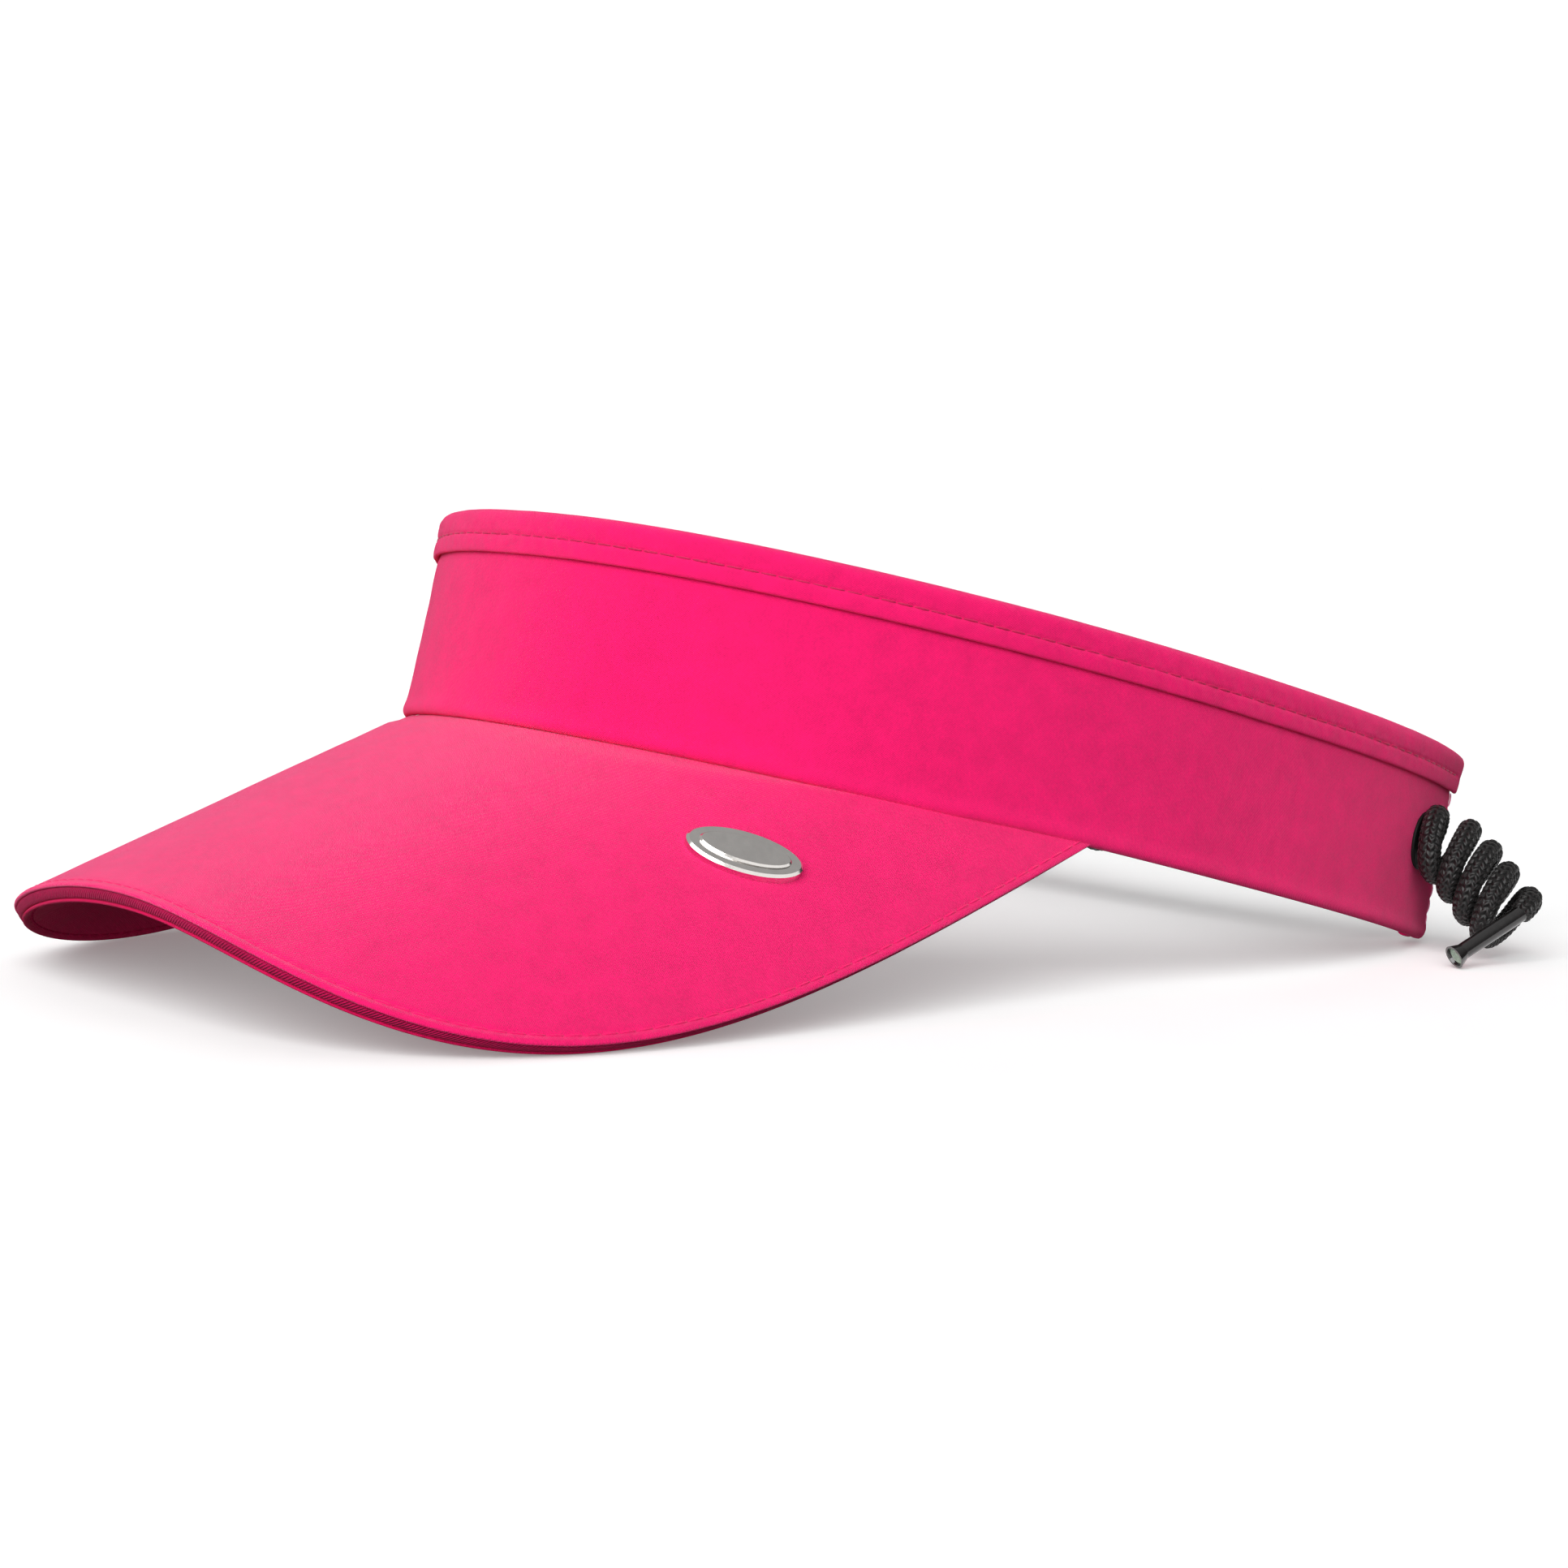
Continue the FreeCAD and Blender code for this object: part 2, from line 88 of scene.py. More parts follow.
AGLET_PHASE = math.radians(52)

# Sewing
STITCH_PITCH = 2.8
COLUMN = STITCH_PITCH / 4
HEM_STITCH_Z = 31.2
BRIM_STITCH_IN = 1.6
END_STITCH_IN = 1.6

# ---- frames and outlines

MIRROR = np.array([-1.0, 1.0, 1.0])
SIDES = (("front", 0), ("left", 1), ("right", -1))
joint = next(j for j in frame["joints"] if j["name"] == "left_wing_flex")
SIN_TILT = -joint["axis"][1]
COS_TILT = -joint["axis"][2]


def unit(vectors):
    return vectors / np.linalg.norm(vectors, axis=-1, keepdims=True)


def running_length(points):
    """How far along a line of points each one is."""
    return np.concatenate([[0], np.cumsum(np.linalg.norm(np.diff(points, axis=0), axis=1))])


def mirrored(points, side):
    """Points of the left side as they are, or on the right side for side -1."""
    return points * MIRROR if side < 0 else points


def turned(p):
    """From the band's own frame to the row frame's directions."""
    p = np.asarray(p, float)
    x, y, z = p[..., 0], p[..., 1], p[..., 2]
    return np.stack([x, y * COS_TILT + z * SIN_TILT, z * COS_TILT - y * SIN_TILT], -1)


def power(value, exponent):
    return np.sign(value) * np.abs(value) ** exponent


def band_xy(angle):
    turn = np.radians(angle)
    depth = np.where(np.cos(turn) > 0, BAND_FRONT_DEPTH, BAND_REAR_DEPTH)
    x = BAND_HALF_WIDTH * power(np.sin(turn), BAND_FULLNESS) * (1 - BAND_EGG * np.cos(turn))
    y = -depth * power(np.cos(turn), BAND_FULLNESS)
    return np.stack([x, y], -1)


ANGLES = np.linspace(-138, 138, 5521)
OUTLINE = band_xy(ANGLES)
ALONG = unit(band_xy(ANGLES + 0.5) - band_xy(ANGLES - 0.5))
NORMALS = np.stack([ALONG[:, 1], -ALONG[:, 0]], -1)
LENGTHS = running_length(OUTLINE)
LENGTHS -= np.interp(0, ANGLES, LENGTHS)


def along_at(angle):
    """Distance along the outline from the front's middle."""
    return float(np.interp(angle, ANGLES, LENGTHS))


def plan(s, depth):
    """Points in plan at distances along the outline and depths in from the outer fabric."""
    x = np.interp(s, LENGTHS, OUTLINE[:, 0]) - depth * np.interp(s, LENGTHS, NORMALS[:, 0])
    y = np.interp(s, LENGTHS, OUTLINE[:, 1]) - depth * np.interp(s, LENGTHS, NORMALS[:, 1])
    return x, y


def band(s, depth, z):
    s, depth, z = np.broadcast_arrays(s, depth, z)
    x, y = plan(s, depth)
    return np.stack([x, y, z], -1)


def outward(s):
    """The outline's outward directions, in three dimensions."""
    n = np.stack([np.interp(s, LENGTHS, NORMALS[:, 0]), np.interp(s, LENGTHS, NORMALS[:, 1])], -1)
    return np.concatenate([unit(n), np.zeros(n.shape[:-1] + (1,))], -1)


S_END = along_at(BAND_END_ANGLE)
S_SPLIT = STITCH_PITCH * round(along_at(60) / STITCH_PITCH)
HINGE_FOOT = band(along_at(HINGE_ANGLE), BAND_DEPTH / 2, 0.0)
SHIFT = np.array(joint["pos_m"]) * 1000 - turned(HINGE_FOOT)


def row(points):
    return (turned(points) + SHIFT) * 0.001


def smoothstep(value, low, high):
    t = np.clip((value - low) / (high - low), 0, 1)
    return t * t * (3 - 2 * t)


def ripple(u, v, size, seed):
    """A soft, repeatable unevenness between -1 and 1 over two coordinates in millimetres."""
    rng = np.random.default_rng(seed)
    total = np.zeros(np.broadcast(u, v).shape)
    for _ in range(9):
        angle, phase = rng.uniform(0, 2 * math.pi, 2)
        stretch = rng.uniform(0.6, 1.7) * 2 * math.pi / size
        total = total + np.sin((u * math.cos(angle) + v * math.sin(angle)) * stretch + phase)
    return total / 5.0


def dimple(s, across, pitch=STITCH_PITCH, width=0.8):
    """How far stitched cloth is pulled in: a groove along the seam, deepest at the needle holes."""
    holes = 0.5 + 0.5 * np.cos(2 * math.pi * s / pitch)
    return (0.45 + 0.55 * holes ** 2) * np.exp(-(across / width) ** 2)


def rounded(points, per_segment=3):
    """A closed profile made smooth through its points (Catmull-Rom)."""
    p = np.array(points, float)
    before, after, later = np.roll(p, 1, 0), np.roll(p, -1, 0), np.roll(p, -2, 0)
    result = []
    for t in np.arange(per_segment) / per_segment:
        result.append(0.5 * (2 * p + (after - before) * t + (2 * before - 5 * p + 4 * after - later) * t ** 2
                             + (3 * p - before - 3 * after + later) * t ** 3))
    return np.stack(result, 1).reshape(-1, 2)


# ---- meshes

def loop_lengths(points):
    """Running length round each closed profile, with the closing step."""
    closed = np.concatenate([points, points[:, :1]], 1)
    steps = np.linalg.norm(np.diff(closed, axis=1), axis=2)
    return np.concatenate([np.zeros((len(points), 1)), np.cumsum(steps, 1)], 1)


def new_piece(name, verts, faces, material, flat=0):
    """An object from points in the row frame, smooth but for its last few faces."""
    mesh = bpy.data.meshes.new(name)
    mesh.from_pydata(verts, [], faces)
    mesh.polygons.foreach_set("use_smooth", [True] * (len(faces) - flat) + [False] * flat)
    piece = bpy.data.objects.new(name, mesh)
    bpy.context.scene.collection.objects.link(piece)
    piece.data.materials.append(material)
    return piece


def tube_faces(n, k):
    """The quads between n rings of k points, and the two ends that close them."""
    i = np.arange(n - 1)[:, None]
    j = np.arange(k)[None, :]
    nxt = (j + 1) % k
    quads = np.stack([i * k + j, (i + 1) * k + j, (i + 1) * k + nxt, i * k + nxt], -1).reshape(-1, 4)
    ends = np.stack([np.arange(k), np.arange(n * k - 1, (n - 1) * k - 1, -1)])
    return quads, ends


def face_outward(mesh):
    shape = bmesh.new()
    shape.from_mesh(mesh)
    if shape.calc_volume(signed=True) < 0:
        bmesh.ops.reverse_faces(shape, faces=shape.faces)
        shape.to_mesh(mesh)
    shape.free()


def tube(name, rings, uv, material, flat=2, backward=False):
    """A closed tube through rings of points in the row frame; uv has one place more round each ring."""
    n, k = rings.shape[:2]
    quads, ends = tube_faces(n, k)
    corners = np.stack([uv[:-1, :-1], uv[1:, :-1], uv[1:, 1:], uv[:-1, 1:]], 2).reshape(-1, 4, 2)
    if backward:
        quads, ends, corners = quads[:, ::-1], ends[:, ::-1], corners[:, ::-1]
    piece = new_piece(name, rings.reshape(-1, 3).tolist(), quads.tolist() + ends.tolist(), material, flat)
    mesh = piece.data
    values = np.zeros((len(mesh.loops), 2))
    values[:quads.size] = corners.reshape(-1, 2)
    mesh.uv_layers.new(name="cloth").data.foreach_set("uv", values.ravel())
    face_outward(mesh)
    return piece


def grid_mesh(name, points, along, material, uv=None):
    """A layer of cloth: points[column, place on the closed profile], in the band's frame."""
    if uv is None:
        v = loop_lengths(points)
        uv = np.stack([np.broadcast_to(np.asarray(along)[:, None], v.shape), v], -1)
    return tube(name, row(points), uv * 0.001, material)


def meeting_normals(before, shared, after):
    """Directions square to the surface on the column where two pieces meet."""
    around = np.roll(shared, -1, 0) - np.roll(shared, 1, 0)
    return turned(np.cross(after - before, around))


def shade_as_one(piece, column, normals):
    """Shade a piece's end column with the normals that it shares with the piece next to it."""
    mesh = piece.data
    normal_at = {tuple(np.round(p, 6)): n for p, n in zip(row(column), normals)}
    custom = [tuple(loop.normal) for loop in mesh.loops]
    for face in mesh.polygons:
        if not face.use_smooth:
            continue
        for index in face.loop_indices:
            found = normal_at.get(tuple(np.round(mesh.vertices[mesh.loops[index].vertex_index].co, 6)))
            if found is not None:
                way = found if found.dot(mesh.loops[index].normal) > 0 else -found
                custom[index] = tuple(unit(way))
    mesh.normals_split_custom_set(custom)


# A stitch's rings: how far along it, how wide and how high each one is
STITCH_RINGS = [(0.05, 0.35, -0.30), (0.14, 0.85, 0.2), (0.3, 1.0, 0.75), (0.5, 1.0, 1.0),
                (0.7, 1.0, 0.75), (0.86, 0.85, 0.2), (0.95, 0.35, -0.30)]
STITCH_SIDES = 8


def thread_mesh(name, holes, normals, material, radius=0.17, lift=0.10):
    """Stitches from each needle hole to the next, each a plump thread that dives in at both ends."""
    start, way = holes[:-1], np.diff(holes, axis=0)
    up = unit(normals[:-1] + normals[1:])
    across = unit(np.cross(way, up))
    verts = []
    for t, wide, high in STITCH_RINGS:
        centre = start + way * t + up * (lift * high)
        for angle in np.arange(STITCH_SIDES) * 2 * math.pi / STITCH_SIDES:
            verts.append(centre + (across * math.cos(angle) + up * math.sin(angle)) * radius * wide)
    verts = np.stack(verts, 1)
    quads, ends = tube_faces(len(STITCH_RINGS), STITCH_SIDES)
    faces = []
    for first in np.arange(len(start)) * len(STITCH_RINGS) * STITCH_SIDES:
        faces += (quads + first).tolist() + (ends + first).tolist()
    piece = new_piece(name, row(verts.reshape(-1, 3)).tolist(), faces, material)
    piece.data.validate()
    return piece


# ---- materials

def new_material(name, base, roughness, **sockets):
    """A Principled material; constants go straight on the shader's sockets."""
    material = bpy.data.materials.new(name)
    material.use_nodes = True
    shader = material.node_tree.nodes["Principled BSDF"]
    shader.inputs["Base Color"].default_value = (*base, 1)
    shader.inputs["Roughness"].default_value = roughness
    for socket, value in sockets.items():
        shader.inputs[socket.replace("_", " ")].default_value = value
    return material


class Nodes:
    """Short names for building a material's nodes."""

    def __init__(self, material):
        self.tree = material.node_tree
        self.shader = self.tree.nodes["Principled BSDF"]

    def add(self, kind, **settings):
        node = self.tree.nodes.new(kind)
        for key, value in settings.items():
            setattr(node, key, value)
        return node

    def link(self, source, target):
        self.tree.links.new(source, target)

    def value(self, node_input, source):
        if hasattr(source, "is_output"):
            self.link(source, node_input)
        else:
            node_input.default_value = source

    def math(self, operation, a, b=0.0):
        node = self.add("ShaderNodeMath", operation=operation)
        self.value(node.inputs[0], a)
        self.value(node.inputs[1], b)
        return node.outputs[0]

    def plus(self, a, b):
        return self.math("ADD", a, b)

    def times(self, a, b):
        return self.math("MULTIPLY", a, b)

    def noise(self, coordinates, scale, detail=3.0, roughness=0.5):
        node = self.add("ShaderNodeTexNoise")
        self.link(coordinates, node.inputs["Vector"])
        node.inputs["Scale"].default_value = scale
        node.inputs["Detail"].default_value = detail
        node.inputs["Roughness"].default_value = roughness
        return node.outputs["Fac"]

    def remap(self, source, low, high):
        node = self.add("ShaderNodeMapRange")
        self.link(source, node.inputs["Value"])
        node.inputs["From Min"].default_value = 0.25
        node.inputs["From Max"].default_value = 0.75
        node.inputs["To Min"].default_value = low
        node.inputs["To Max"].default_value = high
        return node.outputs["Result"]

    def mix(self, factor, first, second):
        node = self.add("ShaderNodeMix", data_type="RGBA")
        self.value(node.inputs["Factor"], factor)
        node.inputs["A"].default_value = (*first, 1)
        node.inputs["B"].default_value = (*second, 1)
        return node.outputs["Result"]

    def bump(self, height, distance, strength=1.0, normal=None):
        node = self.add("ShaderNodeBump")
        self.link(height, node.inputs["Height"])
        node.inputs["Distance"].default_value = distance
        node.inputs["Strength"].default_value = strength
        if normal is not None:
            self.link(normal, node.inputs["Normal"])
        return node.outputs["Normal"]


def uv_waves(nodes, pitch_u, pitch_v):
    uv = nodes.add("ShaderNodeUVMap", uv_map="cloth").outputs["UV"]
    split = nodes.add("ShaderNodeSeparateXYZ")
    nodes.link(uv, split.inputs[0])
    u = nodes.times(split.outputs["X"], 2 * math.pi / pitch_u)
    v = nodes.times(split.outputs["Y"], 2 * math.pi / pitch_v)
    return u, v


def shade(colour, factor):
    return tuple(min(1.0, c * factor) for c in colour)


def woven(name, base, pitch=0.00036, relief=0.00006, twill=False, dark=0.80, light=1.14, sheen=0.34):
    """Woven microfibre: threads over and under each other, uneven dye and a short soft nap."""
    material = new_material(name, base, 0.82, Sheen_Weight=sheen, Sheen_Roughness=0.45,
                            Sheen_Tint=(1.0, 0.66, 0.86, 1), Specular_IOR_Level=0.10)
    nodes = Nodes(material)
    place = nodes.add("ShaderNodeTexCoord").outputs["Object"]
    u, v = uv_waves(nodes, pitch, pitch)
    if twill:
        threads = nodes.math("SINE", nodes.plus(u, v))
    else:
        threads = nodes.times(nodes.math("SINE", u), nodes.math("SINE", v))
    slub = nodes.noise(place, 2600, 2.0, 0.6)
    blotch = nodes.noise(place, 260, 4.0, 0.6)
    broad = nodes.noise(place, 38, 2.0)
    tone = nodes.plus(nodes.times(blotch, 0.5), nodes.times(slub, 0.45))
    tone = nodes.plus(tone, nodes.times(broad, 0.2))
    # painted shade: the colour follows the weave's relief, darker in the hollows between threads and along
    # the twill's rows
    tone = nodes.plus(tone, nodes.times(threads, 0.10 if twill else 0.04))
    factor = nodes.remap(tone, 0.0, 1.0)
    nodes.link(nodes.mix(factor, shade(base, dark), shade(base, light)), nodes.shader.inputs["Base Color"])
    nodes.link(nodes.remap(blotch, 0.74, 0.9), nodes.shader.inputs["Roughness"])
    height = nodes.plus(threads, nodes.times(slub, 1.6))
    fine = nodes.bump(height, relief, 0.9)
    nodes.link(nodes.bump(blotch, 0.00022, 0.35, fine), nodes.shader.inputs["Normal"])
    return material


def brushed(name, base):
    """Looped towelling for the inside of the band."""
    material = new_material(name, base, 0.95, Sheen_Weight=0.6, Sheen_Roughness=0.6,
                            Sheen_Tint=(1.0, 0.7, 0.82, 1), Specular_IOR_Level=0.1)
    nodes = Nodes(material)
    place = nodes.add("ShaderNodeTexCoord").outputs["Object"]
    loops = nodes.add("ShaderNodeTexVoronoi")
    nodes.link(place, loops.inputs["Vector"])
    loops.inputs["Scale"].default_value = 1150
    blotch = nodes.noise(place, 420, 4.0, 0.65)
    # painted shade: the colour darkens towards the edges of the loops' cells, in the recesses between the
    # loops
    tone = nodes.math("SUBTRACT", blotch, nodes.times(loops.outputs["Distance"], 0.5))
    nodes.link(nodes.mix(nodes.remap(tone, 0.2, 1.2), shade(base, 0.62), shade(base, 1.15)),
               nodes.shader.inputs["Base Color"])
    loop_bump = nodes.bump(nodes.math("SUBTRACT", 1.0, loops.outputs["Distance"]), 0.0004, 0.8)
    nodes.link(nodes.bump(blotch, 0.0005, 0.5, loop_bump), nodes.shader.inputs["Normal"])
    return material


def plain(name, base, roughness, grain, relief, spread=0.08, **sockets):
    """A moulded, cast or spun surface with a little grain in its colour, gloss and relief."""
    material = new_material(name, base, roughness, **sockets)
    nodes = Nodes(material)
    place = nodes.add("ShaderNodeTexCoord").outputs["Object"]
    texture = nodes.noise(place, grain, 3.0, 0.55)
    nodes.link(nodes.mix(nodes.remap(texture, 0.0, 1.0), shade(base, 1 - spread), shade(base, 1 + spread)),
               nodes.shader.inputs["Base Color"])
    nodes.link(nodes.remap(texture, roughness * 0.8, min(1.0, roughness * 1.25)),
               nodes.shader.inputs["Roughness"])
    nodes.link(nodes.bump(texture, relief, 0.5), nodes.shader.inputs["Normal"])
    return material


BRAID_PITCH = 0.0011
BRAID_COLUMNS = 8
BRAID_COLUMN = 2 * math.pi * LACE_RADIUS * 0.001 / BRAID_COLUMNS


def braided(name, base):
    """Spun polyester yarns in columns of chevrons, darker in the gaps of the braid as painted shade and
    lighter on the yarns' crests as painted highlight.
    """
    material = new_material(name, base, 0.45, Sheen_Weight=0.06, Sheen_Roughness=0.4,
                            Sheen_Tint=(0.8, 0.78, 0.75, 1), Specular_IOR_Level=0.35)
    nodes = Nodes(material)
    place = nodes.add("ShaderNodeTexCoord").outputs["Object"]
    along, around = uv_waves(nodes, BRAID_PITCH, BRAID_COLUMN)
    column = nodes.math("FRACT", nodes.math("DIVIDE", around, 2 * math.pi))
    fold = nodes.math("ABSOLUTE", nodes.math("SUBTRACT", column, 0.5))
    vee = nodes.times(fold, 2.0)
    yarn = nodes.math("COSINE", nodes.plus(along, nodes.times(vee, math.pi)))
    groove = nodes.times(nodes.math("POWER", vee, 4.0), 1.2)
    relief = nodes.math("SUBTRACT", yarn, groove)
    fuzz = nodes.noise(place, 1800, 4.0, 0.7)
    # painted shade and highlight: the colour follows the braid's relief, dark in the grooves and light on
    # the yarns
    tone = nodes.plus(nodes.times(relief, 0.22), fuzz)
    nodes.link(nodes.mix(nodes.remap(tone, 0.0, 1.0), shade(base, 0.3), shade(base, 2.6)),
               nodes.shader.inputs["Base Color"])
    nodes.link(nodes.remap(fuzz, 0.30, 0.5), nodes.shader.inputs["Roughness"])
    height = nodes.plus(relief, nodes.times(fuzz, 0.5))
    nodes.link(nodes.bump(height, 0.00012, 0.9), nodes.shader.inputs["Normal"])
    return material


PINK = (0.86, 0.0078, 0.143)
cloth_pink = woven("cloth_pink", PINK)
cloth_band = woven("cloth_band", PINK, sheen=0.20)
# painted shade: the brim's under cloth is darker than PINK to stand for the shade beneath the brim
cloth_under_painted_shade = woven("cloth_under_painted_shade", (0.60, 0.004, 0.080), sheen=0.05)
# painted shade: the strip's darker pink stands for the shade on the brim's edge, which faces forward and
# down
cloth_strip_painted_shade = woven("cloth_strip_painted_shade", (0.46, 0.004, 0.070), pitch=0.00062, relief=0.00012, twill=True,
                    dark=0.6, light=1.25, sheen=0.05)
towelling = brushed("towelling", (0.66, 0.010, 0.11))
# painted shade: this thread is darker than the cloth to stand for the shadow on thread sunk in its groove
thread_pink_painted_shade = plain("thread_pink_painted_shade", (0.50, 0.004, 0.075), 0.55, 3000, 0.00005, 0.25,
                    Sheen_Weight=0.1, Specular_IOR_Level=0.3)
thread_brim = plain("thread_brim", (0.78, 0.008, 0.130), 0.8, 3000, 0.00005, 0.12,
                    Sheen_Weight=0.2, Specular_IOR_Level=0.1)
# painted shade: a darker thread for the shaded underside of the brim
thread_under_painted_shade = plain("thread_under_painted_shade", (0.50, 0.004, 0.070), 0.85, 3000, 0.00005, 0.15,
                     Specular_IOR_Level=0.05)
thread_light = plain("thread_light", (0.95, 0.22, 0.42), 0.5, 3000, 0.00005, 0.2,
                     Sheen_Weight=0.4, Specular_IOR_Level=0.4)
buckram = plain("buckram", (0.82, 0.82, 0.79), 0.7, 900, 0.0001)
nickel = plain("nickel", (0.77, 0.74, 0.71), 0.13, 500, 0.000012, 0.05, Metallic=1.0)
enamel = plain("enamel", (0.006, 0.006, 0.006), 0.6, 700, 0.00002, 0.3, Specular_IOR_Level=0.15)
lace_braid = braided("lace_braid", (0.0045, 0.004, 0.004))
sleeve_black = plain("sleeve_black", (0.004, 0.003, 0.003), 0.2, 900, 0.00006, 0.4,
                     Specular_IOR_Level=0.5, Coat_Weight=1.0, Coat_Roughness=0.12)
core_pale = plain("core_pale", (0.55, 0.68, 0.55), 0.6, 2500, 0.0002, 0.3)
satin = plain("satin", (0.86, 0.86, 0.86), 0.42, 1500, 0.00004, 0.06, Sheen_Weight=0.3)

# ---- pieces on the bodies

BEND_FROM = row(band(along_at(70), BAND_DEPTH / 2, 15.0))
BEND_TO = row(band(along_at(93), BAND_DEPTH / 2, 15.0))


def bend(piece, side):
    """Side 0 goes on the front body; for +1 (left) and -1 (right) the piece's transform is only baked into
    its mesh.
    """
    if side == 0:
        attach(piece, "front")
    elif side > 0:
        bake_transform(piece)
    else:
        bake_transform(piece)


def column_lines(extra=0.0):
    """Distances along the band for the front piece and for the left piece, meeting at the split."""
    front = np.linspace(-S_SPLIT, S_SPLIT, round(2 * S_SPLIT / COLUMN) + 1)
    count = int((S_END + extra - S_SPLIT) / COLUMN)
    side = np.append(S_SPLIT + COLUMN * np.arange(count), S_END + extra)
    return front, side


FRONT_LINE, SIDE_LINE = column_lines()


def brim_height(x, y):
    across = np.minimum(np.abs(x) / BRIM_ARCH_HALF_WIDTH, 0.9999)
    arch = 1 - (1 - across ** BRIM_ARCH_POWER) ** (1 / BRIM_ARCH_POWER)
    return BRIM_SLOPE * (y + BAND_FRONT_DEPTH) - BRIM_ARCH_HEIGHT * arch


def brim_normals(x, y):
    step = 0.05
    rise_x = (brim_height(x + step, y) - brim_height(x - step, y)) / (2 * step)
    rise_y = (brim_height(x, y + step) - brim_height(x, y - step)) / (2 * step)
    n = np.stack([-rise_x, -rise_y, np.ones_like(rise_x)], -1)
    return unit(n)


# ---- band cloth

END_FOLD = BAND_DEPTH / 2
CLOTH_TOP = 30.6
CORNER = 4.0
cloth_profile = rounded([
    (-0.40, 30.6), (-0.30, 29.4), (-0.22, 28.6), (-0.12, 28.0), (0.0, 27.0), (0.04, 24.0),
    (0.06, 20.0), (0.07, 16.0), (0.06, 12.0), (0.04, 8.0), (0.05, 5.0), (0.14, 3.2), (0.36, 2.1),
    (0.48, 1.25), (0.32, 0.55), (-0.10, 0.12), (-0.55, 0.04), (-1.1, 0.04), (-1.6, 0.2), (-1.8, 0.8),
    (-1.65, 1.8), (-1.0, 3.0), (-0.75, 6.0), (-0.75, 14.0), (-0.75, 22.0), (-0.75, 30.6)])


def fold_lift(s):
    """Where the cloth's lower edge lies: on the brim in front, flat at the sides, rounded at the end."""
    x, y = plan(s, 0.0)
    on_brim = (brim_height(x, y) - 0.12) * (1 - smoothstep(np.abs(s), along_at(66), along_at(73)))
    beyond = np.clip((np.abs(s) - (S_END - CORNER)) / CORNER, 0, 1)
    return on_brim + CORNER * (1 - np.sqrt(1 - beyond ** 2))


def cloth_points(s, depth, way_s, way_depth):
    """Columns of the cloth: where each stands and which way its face looks, along and in depth."""
    off = cloth_profile[None, :, 0]
    z = cloth_profile[None, :, 1]
    lift = fold_lift(s)[:, None]
    z = lift + z * (CLOTH_TOP - lift) / CLOTH_TOP
    face = smoothstep(off, -0.5, 0.0)
    fade = 1 - smoothstep(z, 24.0, 28.0)
    wave = 0.16 * ripple(s[:, None], z * 1.3, 34.0, 5) + 0.05 * ripple(s[:, None], z, 11.0, 9)
    end_gap = S_END - np.abs(s)[:, None] - END_STITCH_IN
    on_face = (way_depth < -0.9)[:, None]
    seam = 0.10 * dimple(z, end_gap, 2.9, 0.5) * on_face
    off = off + face * (wave * fade - seam)
    u = s[:, None] + off * way_s[:, None]
    d = depth[:, None] + off * way_depth[:, None]
    return band(u, d, z)


def straight_columns(s):
    n = len(s)
    return s, np.zeros(n), np.zeros(n), -np.ones(n)


def folded_columns():
    """Down the outside of the left wing, round its rear end and a little way back inside."""
    outside = SIDE_LINE[SIDE_LINE < S_END - END_FOLD - 0.2]
    turn = np.linspace(0, math.pi, 15)
    s = [outside, S_END - END_FOLD + END_FOLD * np.sin(turn), S_END - END_FOLD - np.linspace(0.5, 5.5, 9)]
    depth = [np.zeros(len(outside)), END_FOLD - END_FOLD * np.cos(turn), np.full(9, BAND_DEPTH)]
    way_s = [np.zeros(len(outside)), np.sin(turn), np.zeros(9)]
    way_depth = [-np.ones(len(outside)), -np.cos(turn), np.ones(9)]
    return [np.concatenate(x) for x in (s, depth, way_s, way_depth)]


def eyelet_place():
    s = S_END - EYELET_FROM_END
    return band(s, 0.0, EYELET_HEIGHT), outward(np.array(s))


HOLE_RADIUS = 3.4
HOLE_SIDES = 40


def punch(piece, side):
    """Cut the eyelet's hole through a wing's cloth."""
    centre, normal = eyelet_place()
    a = row(mirrored(centre + normal * 6, side))
    b = row(mirrored(centre - normal * 9, side))
    p = unit(np.cross(unit(b - a), [0.0, 0.0, 1.0]))
    q = np.cross(unit(b - a), p)
    turn = np.linspace(0, 2 * math.pi, HOLE_SIDES, endpoint=False)[:, None]
    ring = (p * np.cos(turn) + q * np.sin(turn)) * (HOLE_RADIUS * 0.001)
    quads, ends = tube_faces(2, HOLE_SIDES)
    faces = quads[:, [0, 3, 2, 1]].tolist() + ends[:, ::-1].tolist()
    cutter = new_piece("cutter", np.concatenate([a + ring, b + ring]).tolist(), faces,
                       piece.data.materials[0], flat=len(faces))
    cut = piece.modifiers.new("hole", "BOOLEAN")
    cut.operation = "DIFFERENCE"
    cut.object = cutter
    cut.solver = "EXACT"
    bpy.context.view_layer.update()
    evaluated = piece.evaluated_get(bpy.context.evaluated_depsgraph_get())
    holed = bpy.data.meshes.new_from_object(evaluated)
    piece.modifiers.clear()
    old = piece.data
    piece.data = holed
    bpy.data.meshes.remove(old)
    bpy.data.objects.remove(cutter)


